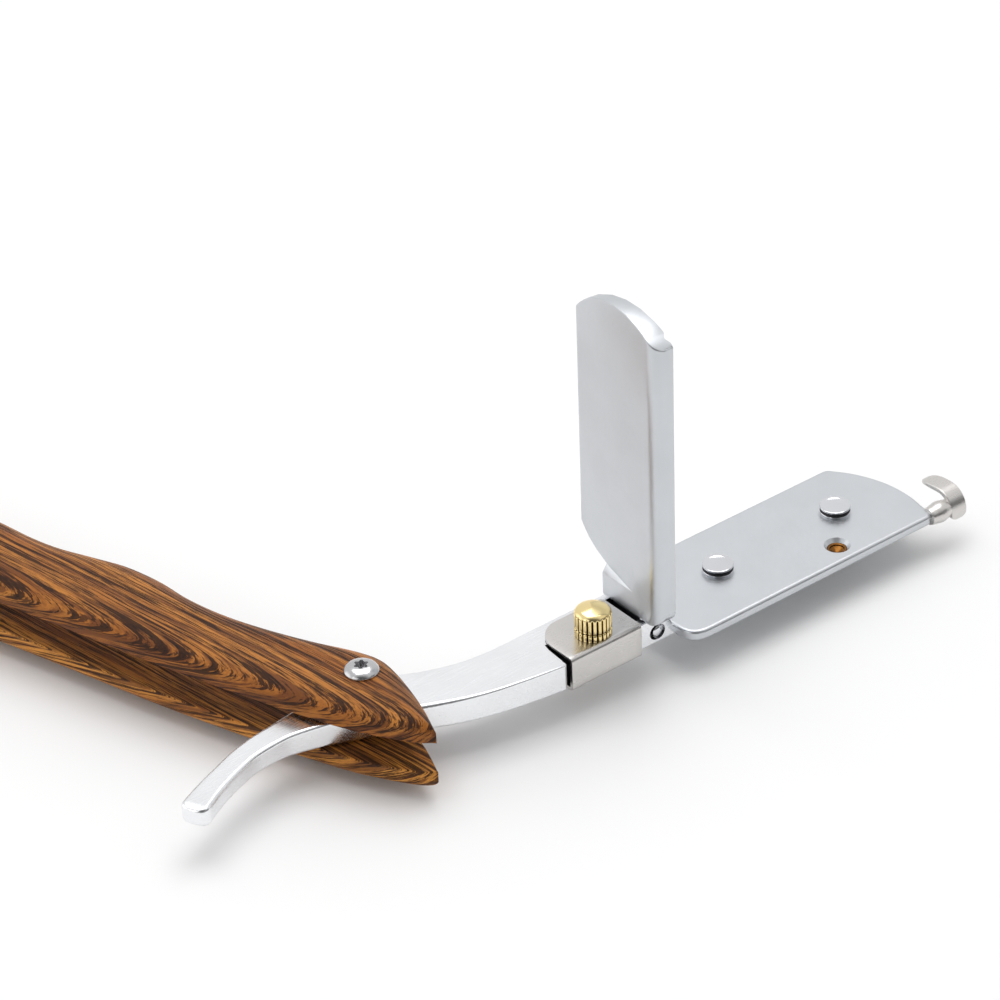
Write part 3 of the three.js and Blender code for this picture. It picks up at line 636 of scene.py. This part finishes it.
END_ROUND = 0.2
bm = bmesh.new()
loops = []
stages = [(clamp_start, 1, t) for t in (0, 0.3, 0.7, 1)] + [(None, 0, t) for t in (0.25, 0.5, 0.75)]
stages += [(lambda y: nose_x(CLAMP_NOSE, y), -1, t) for t in (1, 0.7, 0.3, 0)]
for end, side, t in stages:
    if end is None:
        outer, inner = clamp_ring(lambda y: (1 - t) * clamp_start(y) + t * nose_x(CLAMP_NOSE, y), 0)
    else:
        a = math.pi / 2 * t
        outer, inner = clamp_ring(lambda y: end(y) + side * END_ROUND * (1 - math.cos(a)),
                                  END_ROUND * (1 - math.sin(a)))
    loops.append([[bm.verts.new(p) for p in outer], [bm.verts.new(p) for p in inner]])
for (outer_a, inner_a), (outer_b, inner_b) in zip(loops, loops[1:]):
    around_a, around_b = outer_a + inner_a[::-1], outer_b + inner_b[::-1]
    n = len(around_a)
    for i in range(n):
        bm.faces.new((around_a[i], around_a[(i + 1) % n], around_b[(i + 1) % n], around_b[i]))
for outer, inner in (loops[0], loops[-1]):
    for i in range(len(outer) - 1):
        bm.faces.new((outer[i], outer[i + 1], inner[i + 1], inner[i]))
clamp = shown("clamp_wedge", bm, STAND_UP)

ROOT_TOP = FACE + ROOT_THICK
root_side = [(ROOT_X, FACE), (6.9, FACE), (8.9, FACE), (8.9, FACE + 1.5), (6.95, ROOT_TOP - 0.03),
             (6.8, ROOT_TOP), (ROOT_X + 0.4, ROOT_TOP), (ROOT_X + 0.1, ROOT_TOP - 0.1),
             (ROOT_X, ROOT_TOP - 0.35)]
root_rings = []
for y, pull in ((0.6, 0), (ROOT_EDGE_Y - 0.25, 0), (ROOT_EDGE_Y - 0.08, 0.06), (ROOT_EDGE_Y, 0.22)):
    root_rings.append([Vector((p.x, y, p.y)) for p in inset([Vector(q) for q in root_side], pull)])
shaped(clamp, shown("tool", loft(root_rings), STAND_UP), "UNION")

# the knuckle and the web that carries it, then the pin's bore
KNUCKLE_Y = (FORK_SLOT_Y[0] + 0.1, FORK_SLOT_Y[1] - 0.1)
ALONG_KNUCKLE = Matrix.Rotation(-math.pi / 2, 4, "X")
web = [[Vector((x, y, z)) for x, z in ((0, FACE), (3.3, FACE), (3.3, 1.7), (0, 1.7))] for y in KNUCKLE_Y]
shaped(clamp, shown("tool", loft(web), STAND_UP), "UNION")
shaped(clamp, tool_rod(1.7, *KNUCKLE_Y, turn=ALONG_KNUCKLE, sides=48, place=STAND_UP), "UNION")
shaped(clamp, tool_rod(1.2, -5, 15, turn=ALONG_KNUCKLE, sides=48, place=STAND_UP))

# recesses over the stud heads, the dowel's hole and the clearance over the nose hook's stem
for x in STUD_X:
    shaped(clamp, tool_rod(STUD_R + 0.25, -2, FACE + 1.2, centre=(x, SEAT_Y), place=STAND_UP))
shaped(clamp, tool_rod(0.93, -2, FACE + 1.6, centre=HOLE, sides=40, place=STAND_UP))
over_stem = Matrix.Translation((BED_NOSE["x"] - 1.5, HOOK_Y, HOOK_Z - HINGE_Z)) @ ALONG_X
shaped(clamp, tool_rod(1.58, 0, 10, turn=over_stem, sides=48, place=STAND_UP))
fitted(clamp, "clamp", "plate_steel", plate_steel, "clamp_plate", sharp=30)

# ---------------------------------------------------------------------------------------------
# Clamp dowel
# A short steel pin, pressed in the clamp's inner face, that drops in the bed's hole and keeps
# the closed plates in line.
# ---------------------------------------------------------------------------------------------

DOWEL_R = 0.9
dowel_profile = [
    (0, FACE - 1.1), (0.4, FACE - 1.09), (0.66, FACE - 1.02), (DOWEL_R - 0.04, FACE - 0.75),
    (DOWEL_R, FACE - 0.65), (DOWEL_R, FACE + 1.5), (0, FACE + 1.5),
]
dowel = shown("locating_dowel", turned(dowel_profile, 40, HOLE), STAND_UP)
fitted(dowel, "clamp", "polished_steel", bright_steel, "clamp_dowel")

# ---------------------------------------------------------------------------------------------
# Lock sleeve
# Steel sheet, bent round the spine side of the neck and left open towards the cutting side. It
# slides forward over the hinge to lock the clamp. The rear corners of its flanges are rounded.
# ---------------------------------------------------------------------------------------------

sleeve_low, sleeve_high = (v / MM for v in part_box("lock_sleeve"))
SLEEVE_X = (sleeve_low.x - HINGE_X, sleeve_high.x - HINGE_X)
SLEEVE_Y = (sleeve_low.y - NEAR_Y, sleeve_high.y - NEAR_Y)
SLEEVE_Z = (sleeve_low.z, sleeve_high.z)
SHEET = 0.6
BEND = 0.8
CORNER = 4.2
flange = [SLEEVE_Y[1] - CORNER + CORNER * math.sin(math.pi / 2 * k / 12) for k in range(12, -1, -1)]
flange += [SLEEVE_Y[0] + (flange[-1] - SLEEVE_Y[0]) * t for t in (0.8, 0.6, 0.4)]
path = [(y, SLEEVE_Z[1]) for y in flange]
for cz, start in ((SLEEVE_Z[1] - BEND, 90), (SLEEVE_Z[0] + BEND, 180)):
    path += [(SLEEVE_Y[0] + BEND + BEND * math.cos(math.radians(start + 15 * k)),
              cz + BEND * math.sin(math.radians(start + 15 * k))) for k in range(7)]
    if start == 90:
        path += [(SLEEVE_Y[0], z) for z in (3.6, 2.9, 2.2, 1.5, 0.8)]
path += [(y, SLEEVE_Z[0]) for y in flange[::-1]]


def sleeve_back(y):
    """The sleeve's rear end, rounded towards its open side."""
    into = max(y - (SLEEVE_Y[1] - CORNER), 0)
    return SLEEVE_X[0] + CORNER - math.sqrt(max(CORNER ** 2 - into ** 2, 0))


bm = bmesh.new()
COLUMNS = 12
rows = []
for y, z in path:
    back = sleeve_back(y)
    front = SLEEVE_X[1] - max(y - SLEEVE_Y[1] + 0.5, 0) * 0.8
    rows.append([bm.verts.new((back + (front - back) * i / COLUMNS, y, z)) for i in range(COLUMNS + 1)])
for a, b in zip(rows, rows[1:]):
    for i in range(COLUMNS):
        bm.faces.new((a[i], a[i + 1], b[i + 1], b[i]))
sleeve = shown("bent_sleeve", bm)
sheet = sleeve.modifiers.new("sheet", "SOLIDIFY")
sheet.thickness = SHEET * MM
sheet.offset = -1
sheet.use_even_offset = True
rims = sleeve.modifiers.new("rims", "BEVEL")
rims.width = 0.1 * MM
rims.segments = 3
rims.limit_method = "ANGLE"
rims.angle_limit = math.radians(50)
apply_modifiers(sleeve)
shaped(sleeve, tool_rod(0.93, 4.2, 6, centre=KNOB))
fitted(sleeve, "sleeve", "sleeve_steel", sleeve_steel, "lock_sleeve", sharp=50)
# its inside faces get the near-black steel: painted shade
sleeve.data.materials.append(painted_shade_steel)
for face in sleeve.data.polygons:
    p = into_shop @ face.center
    if p.y > SLEEVE_Y[0] + SHEET - 0.02 and SLEEVE_Z[0] + SHEET - 0.02 < p.z < SLEEVE_Z[1] - SHEET + 0.02:
        face.material_index = 1

# ---------------------------------------------------------------------------------------------
# Knob collar and thumb knob
# Turned brass with a straight fluted grip. The collar is soldered to the sleeve, and the domed
# knob screws down on it to pinch the sleeve on the neck.
# ---------------------------------------------------------------------------------------------

FLUTES = 22
KNOB_R = 2.75
brass = steel("brass", (0.92, 0.74, 0.37), 0.16, EVEN_GRAIN, spread=0.05, height=0.01, cloud=0.05)
# darker brass for the bottoms of the flutes
dark_brass = steel("flute_bottom_brass", (0.13, 0.065, 0.018), 0.45, EVEN_GRAIN)
collar_low, collar_high = (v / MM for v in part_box("knob_collar"))
knob_low, knob_high = (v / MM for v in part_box("thumb_knob"))


def fluted(levels, per_flute=12):
    """A turned shape whose grip is fluted. Levels are (radius, z, share of the flutes' depth)."""
    bm = bmesh.new()
    loops = []
    count = FLUTES * per_flute
    for radius, z, share in levels:
        if radius < 1e-6:
            loops.append([bm.verts.new((KNOB.x, KNOB.y, z))] * count)
            continue
        loop = []
        for i in range(count):
            u = (i % per_flute) / per_flute
            apart = min(u, 1 - u)
            groove = 0.42 * max(1 - apart / 0.19, 0) ** 0.7
            crown = 0.07 * (2 * abs(u - 0.5)) ** 2
            r = radius - share * (groove + crown)
            a = 2 * math.pi * i / count
            loop.append(bm.verts.new((KNOB.x + r * math.cos(a), KNOB.y + r * math.sin(a), z)))
        loops.append(loop)
    for a, b in zip(loops, loops[1:]):
        for i in range(count):
            corners = [a[i], a[(i + 1) % count], b[(i + 1) % count], b[i]]
            corners = [v for k, v in enumerate(corners) if v not in corners[:k]]
            if len(corners) > 2:
                bm.faces.new(corners)
    return bm


def darken_flute_bottoms(obj, top):
    """Dark brass in the bottoms of the flutes, up to a height."""
    obj.data.materials.append(dark_brass)
    for face in obj.data.polygons:
        p = into_shop @ face.center
        if 1.5 < math.hypot(p.x - KNOB.x, p.y - KNOB.y) < KNOB_R - 0.17 and p.z < top:
            face.material_index = 1


bore = 0.95
c0, c1 = collar_low.z, collar_high.z
collar_levels = [
    (bore, c0, 0), (KNOB_R - 0.12, c0, 0.6), (KNOB_R, c0 + 0.1, 1), (KNOB_R, (c0 + c1) / 2, 1),
    (KNOB_R, c1 - 0.16, 1), (KNOB_R - 0.16, c1 - 0.02, 0.9), (KNOB_R - 0.3, c1, 0), (bore, c1, 0),
    (bore, c0, 0),
]
collar = shown("fluted_collar", fluted(collar_levels))
fitted(collar, "sleeve", "brass", brass, "knob_collar", sharp=60)
darken_flute_bottoms(collar, c1 + 0.1)
k0, k1 = knob_low.z, knob_high.z
DOME = k1 - 1.08
knob_levels = [
    (0, k0 + 1.5, 0), (0.9, k0 + 1.5, 0), (0.9, k0, 0), (KNOB_R - 0.3, k0, 0),
    (KNOB_R - 0.16, k0 + 0.02, 0.9), (KNOB_R, k0 + 0.16, 1), (KNOB_R, k0 + 0.8, 1), (KNOB_R, k0 + 1.6, 1),
    (KNOB_R, DOME - 0.55, 1), (KNOB_R, DOME - 0.35, 0.92), (KNOB_R - 0.01, DOME - 0.2, 0.7),
    (KNOB_R - 0.03, DOME - 0.08, 0.4), (KNOB_R - 0.07, DOME + 0.03, 0.15), (KNOB_R - 0.14, DOME + 0.15, 0),
    (KNOB_R - 0.26, DOME + 0.3, 0), (KNOB_R - 0.44, DOME + 0.46, 0), (KNOB_R - 0.7, DOME + 0.62, 0),
    (1.55, DOME + 0.81, 0), (1.0, DOME + 0.94, 0), (0.5, DOME + 1.03, 0), (0, DOME + 1.07, 0),
]
knob = shown("domed_knob", fluted(knob_levels))
fitted(knob, "knob", "brass", brass, "thumb_knob", sharp=60)
darken_flute_bottoms(knob, DOME - 0.2)

# ---------------------------------------------------------------------------------------------
# Lock screw
# The knob's steel screw, hidden under it. It is fixed in the knob and passes down through the
# collar and the sleeve, and its end presses in the neck's guide slot.
# ---------------------------------------------------------------------------------------------

screw_low, screw_high = (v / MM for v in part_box("lock_screw"))
PITCH, THREAD = 0.4, 0.06
screw_profile = [(0, screw_low.z), (0.6, screw_low.z), (0.79, screw_low.z + 0.15)]
turns = int((screw_high.z - screw_low.z - 0.4) / PITCH)
for k in range(turns):
    z = screw_low.z + 0.2 + k * PITCH
    screw_profile += [(0.85, z + 0.1), (0.85 - THREAD, z + PITCH / 2 + 0.1)]
screw_profile += [(0.85, screw_high.z - 0.1), (0.8, screw_high.z), (0, screw_high.z)]
shank = shown("threaded_shank", turned(screw_profile, 40, KNOB))
fitted(shank, "knob", "polished_steel", bright_steel, "lock_screw")

# ---------------------------------------------------------------------------------------------
# Scales
# Two slabs of oiled, strongly streaked hardwood, flat inside and crowned outside, cut to a swept
# outline with a pointed front end. The grain runs along the handle and dips towards its back.
# ---------------------------------------------------------------------------------------------

HANDLE_ANGLE = math.radians(109)
HANDLE = SHOP @ Matrix.Translation((*PIVOT, 0)) @ Matrix.Rotation(HANDLE_ANGLE, 4, "Z")
mouth_side = spline([
    (118, -5), (106, -5.8), (92, -6.2), (80, -6.1), (70, -5.6), (62.8, -4.7), (57.6, -4.5), (51, -5.2),
    (45.5, -5.7), (39, -5.1), (33, -3.7), (26, -3), (19, -3.2), (11, -4.1), (4, -5.3), (0, -5.3),
    (-4, -3.6), (-10.8, 0.7), (-15.4, 4.4),
], 150)[::-1]
back_side = spline([
    (-15.4, 4.4), (-13.4, 5.6), (-10, 6.7), (-3, 8.1), (4, 8.7), (14, 9.1), (30, 9.3), (50, 8.8),
    (66, 8.6), (84, 8.8), (104, 8.6), (118, 7.6),
], 150)
mouth_side += bezier((118, -5), (124, -4.6), (127.6, -2.3), (127.58, 1.2), 16)[1:]
back_side += bezier((118, 7.6), (123.8, 6.95), (127.55, 4.6), (127.58, 1.2), 16)[1:]
rim = np.array([(p.x, p.y) for p in mouth_side + back_side[::-1]])
SIDE_WALL = 1.5
CROWN_WIDTH = 4.6


def rim_distance(points):
    """How far each point is from the outline."""
    a, b = rim, np.roll(rim, -1, 0)
    span = b - a
    length = np.maximum((span ** 2).sum(1), 1e-12)
    t = ((points[:, None] - a) * span).sum(2) / length
    near = a + np.clip(t, 0, 1)[..., None] * span
    return np.sqrt(((points[:, None] - near) ** 2).sum(2)).min(1)


# where the slab's rings stand: close together at both ends, and on each by how far from the rim
insets = [0, 0.04, 0.12, 0.26, 0.46, 0.75, 1.1, 1.6, 2.2, 2.9, 3.7, CROWN_WIDTH]
ring_x = [-15.4 + 0.012 * 2.2 ** k for k in range(6)]
ring_x += list(np.arange(ring_x[-1] + 0.5, 4, 0.55)) + list(np.arange(4, 118, 1.5))
ring_x += list(118 + 9.6 * np.sin(np.linspace(0, math.pi / 2, 26)))


def crowned_slab(inner, outer):
    """A scale from its inner face to its outer face, crowned by the distance to its rim."""
    full = abs(outer - inner)
    up = 1 if outer > inner else -1
    low_x, low_y = [p.x for p in mouth_side], [p.y for p in mouth_side]
    high_x, high_y = [p.x for p in back_side], [p.y for p in back_side]
    flat = []
    for x in ring_x:
        y0, y1 = np.interp(x, low_x, low_y), np.interp(x, high_x, high_y)
        squeeze = min(1, (y1 - y0) / 2 / 4.9)
        left = [(x, y0 + d * squeeze) for d in insets]
        right = [(x, y1 - d * squeeze) for d in insets[::-1]]
        flat.append(left + [(x, (y0 + y1) / 2)] + right)
    flat = np.array(flat)
    from_rim = rim_distance(flat.reshape(-1, 2)).reshape(flat.shape[:2])
    climb = np.clip(from_rim / CROWN_WIDTH, 0, 1)
    height = SIDE_WALL + (full - SIDE_WALL) * np.sqrt(1 - (1 - climb) ** 2.2)
    rings = []
    for row, heights in zip(flat, height):
        x, y0, y1 = row[0][0], row[0][1], row[-1][1]
        soft = min(0.14, (y1 - y0) / 4)
        ring = [Vector((x, y0 + soft, inner)), Vector((x, y0, inner + up * 0.14))]
        ring += [Vector((x, y, inner + up * h)) for (_, y), h in zip(row, heights)]
        ring += [Vector((x, y1, inner + up * 0.14)), Vector((x, y1 - soft, inner))]
        rings.append(ring)
    return loft(rings)


def streaked_wood(name, offset, base, light, shade, dark):
    """Hardwood with dark streaks in tilted layers, drawn out along the grain, and open pores.
    Lengths are in millimetres and x runs along the handle."""
    material, node, link = surface(name, base, 0, 0.45)
    material.node_tree.nodes["Principled BSDF"].inputs["Specular IOR Level"].default_value = 0.15

    def dot(vector, direction):
        made = node("VectorMath", {0: vector}, operation="DOT_PRODUCT")
        made.inputs[1].default_value = direction
        return made.outputs["Value"]

    def blend(fac, a, b):
        made = node("Mix", data_type="RGBA")
        for index, value in ((0, fac), (6, a), (7, b)):
            if isinstance(value, tuple):
                made.inputs[index].default_value = (*value, 1)
            else:
                material.node_tree.links.new(value, made.inputs[index])
        return made.outputs[2]

    coords = node("TexCoord")
    local = node("Mapping", {"Vector": coords.outputs["Object"]}, vector_type="TEXTURE")
    local.inputs["Location"].default_value = HANDLE.translation
    local.inputs["Rotation"].default_value = (0, 0, HANDLE_ANGLE)
    local.inputs["Scale"].default_value = (MM, MM, MM)
    shifted = node("VectorMath", {0: local.outputs["Vector"]}, operation="ADD")
    shifted.inputs[1].default_value = offset
    sway_map = node("Mapping", {"Vector": shifted.outputs["Vector"]})
    sway_map.inputs["Scale"].default_value = (0.03, 0.10, 0.10)
    sway = node("TexNoise", {"Vector": sway_map.outputs["Vector"]}, Scale=1.0, Detail=1.5)
    swing = node("VectorMath", {0: sway.outputs["Color"]}, operation="MULTIPLY")
    swing.inputs[1].default_value = (0, 1.5, 1.5)
    grain = node("VectorMath", {0: shifted.outputs["Vector"], 1: swing.outputs["Vector"]}, operation="ADD")
    depth = dot(grain.outputs["Vector"], (0.115, 0.75, 0.65))
    across = dot(grain.outputs["Vector"], (0, -0.65, 0.75))
    along = dot(grain.outputs["Vector"], (1, 0, 0))
    layered = node("CombineXYZ", {"X": along, "Y": across, "Z": depth})

    def layers(scale, detail, rough, low, high):
        drawn = node("Mapping", {"Vector": layered.outputs["Vector"]})
        drawn.inputs["Scale"].default_value = scale
        noise = node("TexNoise", {"Vector": drawn.outputs["Vector"]}, Scale=1.0, Detail=detail,
                     Roughness=rough)
        ramp = node("MapRange", {"Value": noise.outputs["Fac"]}, interpolation_type="SMOOTHSTEP")
        ramp.inputs["From Min"].default_value = low
        ramp.inputs["From Max"].default_value = high
        return ramp.outputs["Result"]

    def part_of(value, amount):
        made = node("Math", {0: value}, operation="MULTIPLY")
        made.inputs[1].default_value = amount
        return made.outputs[0]

    broad = layers((0.012, 0.10, 0.40), 2, 0.5, 0.38, 0.62)
    bands = layers((0.022, 0.14, 1.5), 4, 0.65, 0.48, 0.56)
    veins = layers((0.045, 0.25, 3.6), 4, 0.7, 0.505, 0.550)
    hairs = layers((0.12, 0.8, 8.0), 3, 0.7, 0.52, 0.60)
    fibres = layers((0.35, 2.6, 17.0), 3, 0.7, 0.35, 0.65)
    colour = blend(broad, base, light)
    colour = blend(part_of(bands, 0.75), colour, shade)
    colour = blend(part_of(veins, 0.92), colour, dark)
    colour = blend(part_of(hairs, 0.80), colour, dark)
    colour = blend(part_of(fibres, 0.35), colour, shade)
    link(colour, "Base Color")
    pores = node("Math", {0: fibres, 1: hairs}, operation="ADD")
    bump = node("Bump", {"Height": pores.outputs[0]}, Strength=0.35, Distance=0.00004)
    bump.invert = True
    link(bump.outputs["Normal"], "Normal")
    sheen = node("MapRange", {"Value": veins})
    sheen.inputs["To Min"].default_value = 0.40
    sheen.inputs["To Max"].default_value = 0.55
    link(sheen.outputs["Result"], "Roughness")
    return material


scale_low, scale_high = (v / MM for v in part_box("upper_scale"))
under_low, under_high = (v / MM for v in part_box("lower_scale"))
BARREL_R = 1.6
BUTT = Vector((118, 1.2))


def barrel_hole(spot):
    """The tool for a barrel nut's hole in the wood."""
    return tool_rod(BARREL_R + 0.05, -9, 12, centre=spot, sides=48, place=HANDLE)


wood = streaked_wood("streaked_hardwood", (3.0, 11.0, 4.0), (0.40, 0.135, 0.024), (0.60, 0.235, 0.046),
                     (0.12, 0.036, 0.012), (0.012, 0.007, 0.005))
golden_wood = streaked_wood("golden_hardwood", (41.0, 5.0, 17.0), (0.54, 0.20, 0.034), (0.78, 0.33, 0.062),
                            (0.16, 0.050, 0.014), (0.014, 0.008, 0.005))
for name, faces, node_name, timber in (
    ("upper_slab", (scale_low.z, scale_high.z), "upper_scale", wood),
    ("lower_slab", (under_high.z, under_low.z), "lower_scale", golden_wood),
):
    slab = shown(name, crowned_slab(*faces), HANDLE)
    for spot in (Vector((0, 0)), BUTT):
        shaped(slab, barrel_hole(spot))
    fitted(slab, "handle", "scale_wood", timber, node_name, sharp=40)

# ---------------------------------------------------------------------------------------------
# Butt spacer
# A block of the same wood, glued and screwed between the scales at the butt end. Its front
# end is hollowed.
# ---------------------------------------------------------------------------------------------

spacer_low, spacer_high = (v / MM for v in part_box("butt_spacer"))
spacer_outline = tidy_outline(
    bezier((111, 6.8), (113.3, 3.1), (113.3, -0.7), (111, -4.4), 12)
    + bezier((118, -4), (123, -3.6), (126, -1.6), (126, 1.2), 12)
    + bezier((126, 1.2), (126, 4), (123, 6), (118, 6.4), 12)
)
spacer_body = rounded_plate(spacer_outline, spacer_low.z, spacer_high.z, 0.1, 0.1, 2)
spacer = shown("butt_block", spacer_body, HANDLE)
shaped(spacer, barrel_hole(BUTT))
fitted(spacer, "handle", "scale_wood", wood, "butt_spacer")

# ---------------------------------------------------------------------------------------------
# Pivot screw, butt screw and their barrel nuts
# Polished steel. Each screw has a button head with a six-lobed recess and is threaded into a
# barrel nut that passes through both scales. The tang turns on the front one.
# ---------------------------------------------------------------------------------------------

HEAD_R = 2.55
screw_steel = steel("machined_steel", (0.56, 0.56, 0.57), 0.2, EVEN_GRAIN, spread=0.05, height=0.015)
head_low, head_high = (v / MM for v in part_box("pivot_screw"))
nut_low, nut_high = (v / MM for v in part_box("pivot_nut"))
head_top, seat, nut_end = head_high.z, scale_high.z, nut_low.z
head_profile = [
    (0, head_low.z), (0.95, head_low.z), (0.95, seat), (HEAD_R - 0.05, seat), (HEAD_R, seat + 0.06),
    (HEAD_R, seat + 0.22), (HEAD_R - 0.06, seat + 0.32), (2.3, seat + 0.55), (2.02, seat + 0.76),
    (1.7, seat + 0.92), (1.4, seat + 1.02), (1.15, head_top), (0, head_top),
]
nut_profile = [
    (0, nut_end), (1.5, nut_end), (1.9, nut_end + 0.1), (2.25, nut_end + 0.3), (HEAD_R - 0.05, nut_end + 0.6),
    (HEAD_R, nut_end + 0.75), (HEAD_R, under_low.z), (BARREL_R, under_low.z), (BARREL_R, nut_high.z),
    (1.02, nut_high.z), (1.02, head_low.z - 0.2), (0, head_low.z - 0.2),
]
RECESS_DEPTH = 0.85
for screw_name, nut_name, spot in (("pivot_screw", "pivot_nut", Vector((0, 0))),
                                   ("butt_screw", "butt_nut", BUTT)):
    head = shown(screw_name.replace("screw", "button_head"), turned(head_profile, 72, spot), HANDLE)
    lobes = []
    for a in (2 * math.pi * i / 72 for i in range(72)):
        lobe_r = 0.93 + 0.17 * math.cos(6 * a)
        lobes.append(Vector((spot.x + lobe_r * math.cos(a), spot.y + lobe_r * math.sin(a))))
    recess = [[Vector((*p, z)) for p in lobes] for z in (head_top - RECESS_DEPTH, head_top + 1)]
    shaped(head, shown("tool", loft(recess), HANDLE))
    fitted(head, "handle", "polished_steel", screw_steel, screw_name, sharp=35)
    nut = shown(nut_name.replace("nut", "barrel_nut"), turned(nut_profile, 64, spot), HANDLE)
    fitted(nut, "handle", "polished_steel", screw_steel, nut_name, sharp=35)

# ---------------------------------------------------------------------------------------------
# Washers and pivot bush
# Thin brass washers keep the scales off the tang, and a brass bush is pressed in the tang's eye.
# ---------------------------------------------------------------------------------------------

WASHER_R = 3.6
for node_name, inner, outer in (("upper_washer", BARREL_R + 0.05, WASHER_R),
                                ("lower_washer", BARREL_R + 0.05, WASHER_R),
                                ("pivot_bush", BARREL_R + 0.06, BUSH_OUTER_R - 0.02)):
    low, high = (v.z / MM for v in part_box(node_name))
    soft = min(0.05, (high - low) / 4)
    profile = [(inner, low), (outer - soft, low), (outer, low + soft), (outer, high - soft),
               (outer - soft, high), (inner, high), (inner, low)]
    body = "tang" if node_name == "pivot_bush" else "handle"
    washer = shown(node_name + "_turned", turned(profile, 72, PIVOT))
    fitted(washer, body, "brass", brass, node_name)

# ---------------------------------------------------------------------------------------------
# Studio
# A plain pale floor under the lowest screw, a bright room with soft lights, and a long-lens
# camera above and to the left of the spine side.
# ---------------------------------------------------------------------------------------------

low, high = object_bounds()
bm = bmesh.new()
FLOOR_HALF = 1.5
FLOOR_Z = low.z - 0.0002
corners = [(x * FLOOR_HALF, y * FLOOR_HALF, FLOOR_Z) for x, y in ((-1, -1), (1, -1), (1, 1), (-1, 1))]
bm.faces.new([bm.verts.new(corner) for corner in corners])
mesh = bpy.data.meshes.new("studio_floor")
bm.to_mesh(mesh)
bm.free()
floor = bpy.data.objects.new("studio_floor", mesh)
bpy.context.scene.collection.objects.link(floor)
paper, _, _ = surface("white_paper", (0.92, 0.92, 0.92), 0, 0.9)
mesh.materials.append(paper)

world = bpy.data.worlds.new("bright_room")
bpy.context.scene.world = world
world.use_nodes = True
sky = world.node_tree
heading = sky.nodes.new("ShaderNodeTexCoord")
strength = sky.nodes["Background"].inputs["Strength"]
sky.nodes["Background"].inputs["Color"].default_value = (1, 1, 1, 1)
ROOM = 0.84
total = None
# (direction, cosine where the patch starts, cosine where it is full, what it adds)
patches = [
    ((0.50, 0.66, 0.56), 0.55, 0.97, 0.03),
    ((-0.56, -0.70, 0.45), 0.60, 0.93, -0.72),
    ((0.50, -0.86, 0.08), 0.80, 0.96, -0.70),
    ((-0.73, 0.66, 0.18), 0.85, 0.97, 0.70),
]
for direction, start, full, change in patches:
    toward = sky.nodes.new("ShaderNodeVectorMath")
    toward.operation = "DOT_PRODUCT"
    toward.inputs[1].default_value = direction
    sky.links.new(heading.outputs["Generated"], toward.inputs[0])
    patch = sky.nodes.new("ShaderNodeMapRange")
    patch.interpolation_type = "SMOOTHSTEP"
    patch.inputs["From Min"].default_value = start
    patch.inputs["From Max"].default_value = full
    patch.inputs["To Max"].default_value = change
    sky.links.new(toward.outputs["Value"], patch.inputs["Value"])
    add = sky.nodes.new("ShaderNodeMath")
    sky.links.new(patch.outputs["Result"], add.inputs[0])
    if total is None:
        add.inputs[1].default_value = ROOM
    else:
        sky.links.new(total, add.inputs[1])
    total = add.outputs[0]
sky.links.new(total, strength)


def softbox(name, place, aim, size, power):
    lamp = bpy.data.lights.new(name, "AREA")
    lamp.shape = "RECTANGLE"
    lamp.size, lamp.size_y = size
    lamp.energy = power
    obj = bpy.data.objects.new(name, lamp)
    obj.location = place
    obj.rotation_mode = "QUATERNION"
    obj.rotation_quaternion = (Vector(aim) - Vector(place)).to_track_quat("-Z", "Y")
    bpy.context.scene.collection.objects.link(obj)


softbox("overhead_box", (0.05, 0.15, 0.7), (-0.02, 0.0, 0), (0.7, 0.5), 2.5)
softbox("left_box", (-0.7, -0.1, 0.35), (-0.02, 0.0, 0), (0.4, 0.4), 0.5)

CAMERA_AZIMUTH = math.radians(36.97)
CAMERA_ELEVATION = math.radians(33.82)
CAMERA_ROLL = math.radians(-2.36)
CAMERA_DISTANCE = 540.27
CAMERA_OFFSET = (22.22, -21.54)
right = Vector((math.cos(CAMERA_AZIMUTH), -math.sin(CAMERA_AZIMUTH), 0))
ahead = Vector((math.sin(CAMERA_AZIMUTH), math.cos(CAMERA_AZIMUTH), 0))
forward = ahead * math.cos(CAMERA_ELEVATION) - Vector((0, 0, 1)) * math.sin(CAMERA_ELEVATION)
upward = ahead * math.sin(CAMERA_ELEVATION) + Vector((0, 0, 1)) * math.cos(CAMERA_ELEVATION)
eye = SHOP @ (-CAMERA_OFFSET[0] * right - CAMERA_OFFSET[1] * upward - CAMERA_DISTANCE * forward)
lens = bpy.data.cameras.new("camera")
lens.sensor_width = 36
lens.lens = 3.72 * lens.sensor_width
lens.clip_start, lens.clip_end = 0.01, 20
camera = bpy.data.objects.new("camera", lens)
cos_roll, sin_roll = math.cos(CAMERA_ROLL), math.sin(CAMERA_ROLL)
across = right * cos_roll + upward * sin_roll
overhead = upward * cos_roll - right * sin_roll
camera.matrix_world = Matrix.Translation(eye) @ Matrix((across, overhead, -forward)).transposed().to_4x4()
bpy.context.scene.collection.objects.link(camera)
bpy.context.scene.camera = camera
bpy.context.scene.view_settings.view_transform = "Standard"
